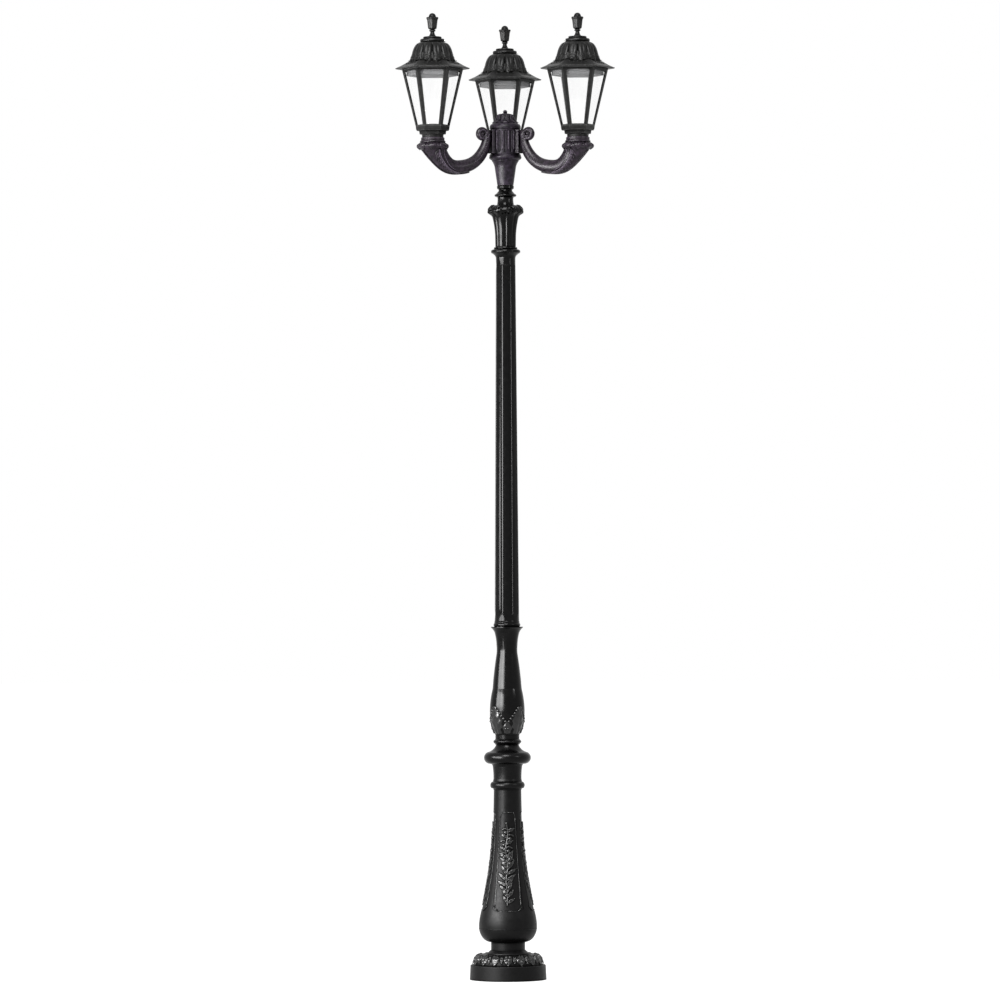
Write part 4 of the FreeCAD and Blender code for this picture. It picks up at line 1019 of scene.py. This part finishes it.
def scroll_spiral(relief, skin, side):
    """A raised spiral on one face of the scroll at the arm's head."""
    look_in = skin.turn @ Vector((0.0, -side, 0.0))
    path = []
    for share in evenly(0.0, 1.0, SCROLL_STEPS):
        turn = 2 * math.pi * SCROLL_TURNS * share + math.pi
        radius = SCROLL_R - (SCROLL_R - SCROLL_EYE_R) * share
        out = SCROLL_EYE_OUT + radius * math.cos(turn)
        place = Vector((out, 0.0, SCROLL_EYE_HEIGHT + radius * math.sin(turn)))
        path.append(skin.surface.along(skin.turn @ place - look_in * SCROLL_RAY_START, look_in, 0.0002))
    relief.bar(path, evenly(0.0021, 0.0015, SCROLL_STEPS))


def arm_carving(head):
    """A keel and a toothed leaf under the flare, and beads and spirals at the scroll."""
    skin = ArmSkin(head)
    relief = Relief()
    keel = skin.line(KEEL, (180, 180), KEEL_STEPS, 0.0006)
    relief.bar(keel, [KEEL_R] * len(keel))
    for side in (-1, 1):
        arm_leaf(relief, skin, side)
        arm_beads(relief, skin, side)
    for side in (-1, 1):
        scroll_spiral(relief, skin, side)
    relief.build("arm_carving_" + head, "post", "arm_paint")


def cup_petals(head):
    """Drooping petals round the cup at the arm's end, with a bud between each pair."""
    angle = math.radians(ARM_BEARINGS[head])
    centre = (ARM_REACH * math.cos(angle), ARM_REACH * math.sin(angle))
    surface = Surface("arm_" + head, centre=centre, reach=0.09)
    relief = Relief()
    for k in range(CUP_PETALS):
        bearing = 360.0 * k / CUP_PETALS
        turned_leaf(relief, surface, bearing, CUP_TOP, CUP_TIP, CUP_PETAL)
        turned_leaf(relief, surface, bearing + 180.0 / CUP_PETALS, CUP_TOP, CUP_TIP + 0.009, CUP_BUD)
    relief.build("cup_petals_" + head, "post", "arm_paint")


# Roofs and finials

GADROONS = 12
ROOF_LEAF_FOOT = 0.014    # below the roof's top
ROOF_LEAF_TIP = 0.024     # above the eave's underside
ROOF_PETAL_HALF = 0.0185
ROOF_PETAL_THICK = 0.0030
ROOF_CREST_END = 0.68     # shares of the leaf's length
ROOF_VEIN_START = 0.55
ROOF_CURL_START = 0.88
ROOF_VEINS = 7
ROOF_VEIN_RISE = 0.3      # shares of the leaf's thickness
ROOF_CROWN = 0.35
ROOF_CURL = 1.1
ROOF_PETAL_GRID = (40, 20)
GROOVE_DART = LeafForm(half_width=0.0042, thick=0.0024, lobes=1, curl=1.0, rows=14, columns=6)
EAVE_BEAD_R = 0.0024
EAVE_BEAD_STEPS = 12
EAVE_DOTS = 5
EAVE_DOT_PITCH = 9.0      # degrees
EAVE_DOT_RISE = 0.0165
EAVE_DOT_R = 0.0032
EAVE_DOT_H = 0.0026
FINIAL_PETALS = 6
FINIAL_PETAL_FOOT = 0.048 # above the finial's foot
FINIAL_PETAL_TIP = 0.084
FINIAL_PETAL = PetalForm(thick=0.0016, rows=24, columns=10)


def box_middle(low, high):
    return ((low.x + high.x) / 2, (low.y + high.y) / 2)


def roof_petal(relief, surface, degrees, foot, tip):
    """Adds a leaf on a gadroon, from the collar down to the eave: two smooth crests beside a groove
    above, veined lobes and a curled tip below."""

    def place(u, v):
        height = foot + (tip - foot) * v
        swell = 0.7 + 0.3 * math.sin(math.pi * min(1.0, 0.15 + v))
        half = ROOF_PETAL_HALF * swell * (1 - v ** 8) ** 0.5
        bearing = degrees - u * math.degrees(half / surface.radius(degrees, height))
        across = abs(u)
        below = past(v, ROOF_VEIN_START)
        crests = math.sin(math.pi * across) * math.sin(math.pi * min(1.0, v / ROOF_CREST_END))
        ripple = math.cos(2 * math.pi * ROOF_VEINS * (v - 0.12 * across)) * min(1.0, 3 * below)
        veins = ROOF_VEIN_RISE * ripple * (1 - across ** 4)
        crown = ROOF_CROWN * (1 - across ** 6) * (1 + 0.6 * below)
        curl = ROOF_CURL * past(v, ROOF_CURL_START) ** 2
        return surface.at(bearing, height, ROOF_PETAL_THICK * (crown + crests + veins + curl))

    relief.patch(place, *ROOF_PETAL_GRID)


def roof_leaves(head):
    """A leaf on each gadroon of the dome, and a dart in each groove."""
    low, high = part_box("roof_" + head)
    surface = Surface("roof_" + head, centre=box_middle(low, high))
    foot = high.z - ROOF_LEAF_FOOT
    tip = low.z + ROOF_LEAF_TIP
    relief = Relief()
    for k in range(GADROONS):
        roof_petal(relief, surface, 360.0 * (k + 0.5) / GADROONS, foot, tip)
        turned_leaf(relief, surface, 360.0 * k / GADROONS, tip + 0.030, tip + 0.002, GROOVE_DART)
    relief.build("roof_leaves_" + head, "roof_" + head, "lantern_paint")


def eave_beads(head):
    """A round bead along the eave's six edges, and a dot row above each."""
    low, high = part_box("roof_" + head)
    surface = Surface("roof_" + head, centre=box_middle(low, high))
    corner_r = (high.x - low.x) / 2 - EAVE_BEAD_R - 0.001
    corner = Vector((corner_r, 0.0, low.z + 0.0018))
    relief = Relief()
    for k in range(6):
        start, end = (
            surface.centre + Matrix.Rotation(math.radians(60.0 * n), 3, "Z") @ corner for n in (k, k + 1))
        edge = [start.lerp(end, share) for share in evenly(0.0, 1.0, EAVE_BEAD_STEPS)]
        relief.bar(edge, [EAVE_BEAD_R] * len(edge))
        for dot in range(EAVE_DOTS):
            bearing = 60.0 * k + 30.0 + (dot - (EAVE_DOTS - 1) / 2) * EAVE_DOT_PITCH
            spot = surface.at(bearing, low.z + EAVE_DOT_RISE)
            deeper = surface.at(bearing, low.z + EAVE_DOT_RISE, -0.004)
            relief.bead(spot, spot - deeper, EAVE_DOT_R, EAVE_DOT_H)
    relief.build("eave_beads_" + head, "roof_" + head, "lantern_paint")


def finial_petals(head):
    """Petals that make the finial's vase a closed tulip."""
    low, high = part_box("finial_cap_" + head)
    surface = Surface("finial_cap_" + head, centre=box_middle(low, high), reach=0.08)
    foot = low.z + FINIAL_PETAL_FOOT
    tip = low.z + FINIAL_PETAL_TIP
    relief = Relief()
    for k in range(FINIAL_PETALS):
        bearing = 360.0 * (k + 0.5) / FINIAL_PETALS
        turned_petal(relief, surface, bearing, foot, tip, FINIAL_PETALS, FINIAL_PETAL)
    relief.build("finial_petals_" + head, "finial_" + head, "lantern_paint")


foot_leaves()
pedestal_vines()
baluster_leaves()
capital_petals()
cap_leaves()
hub_ribs()
for head in HEADS:
    arm_carving(head)
    cup_petals(head)
    roof_leaves(head)
    eave_beads(head)
    finial_petals(head)
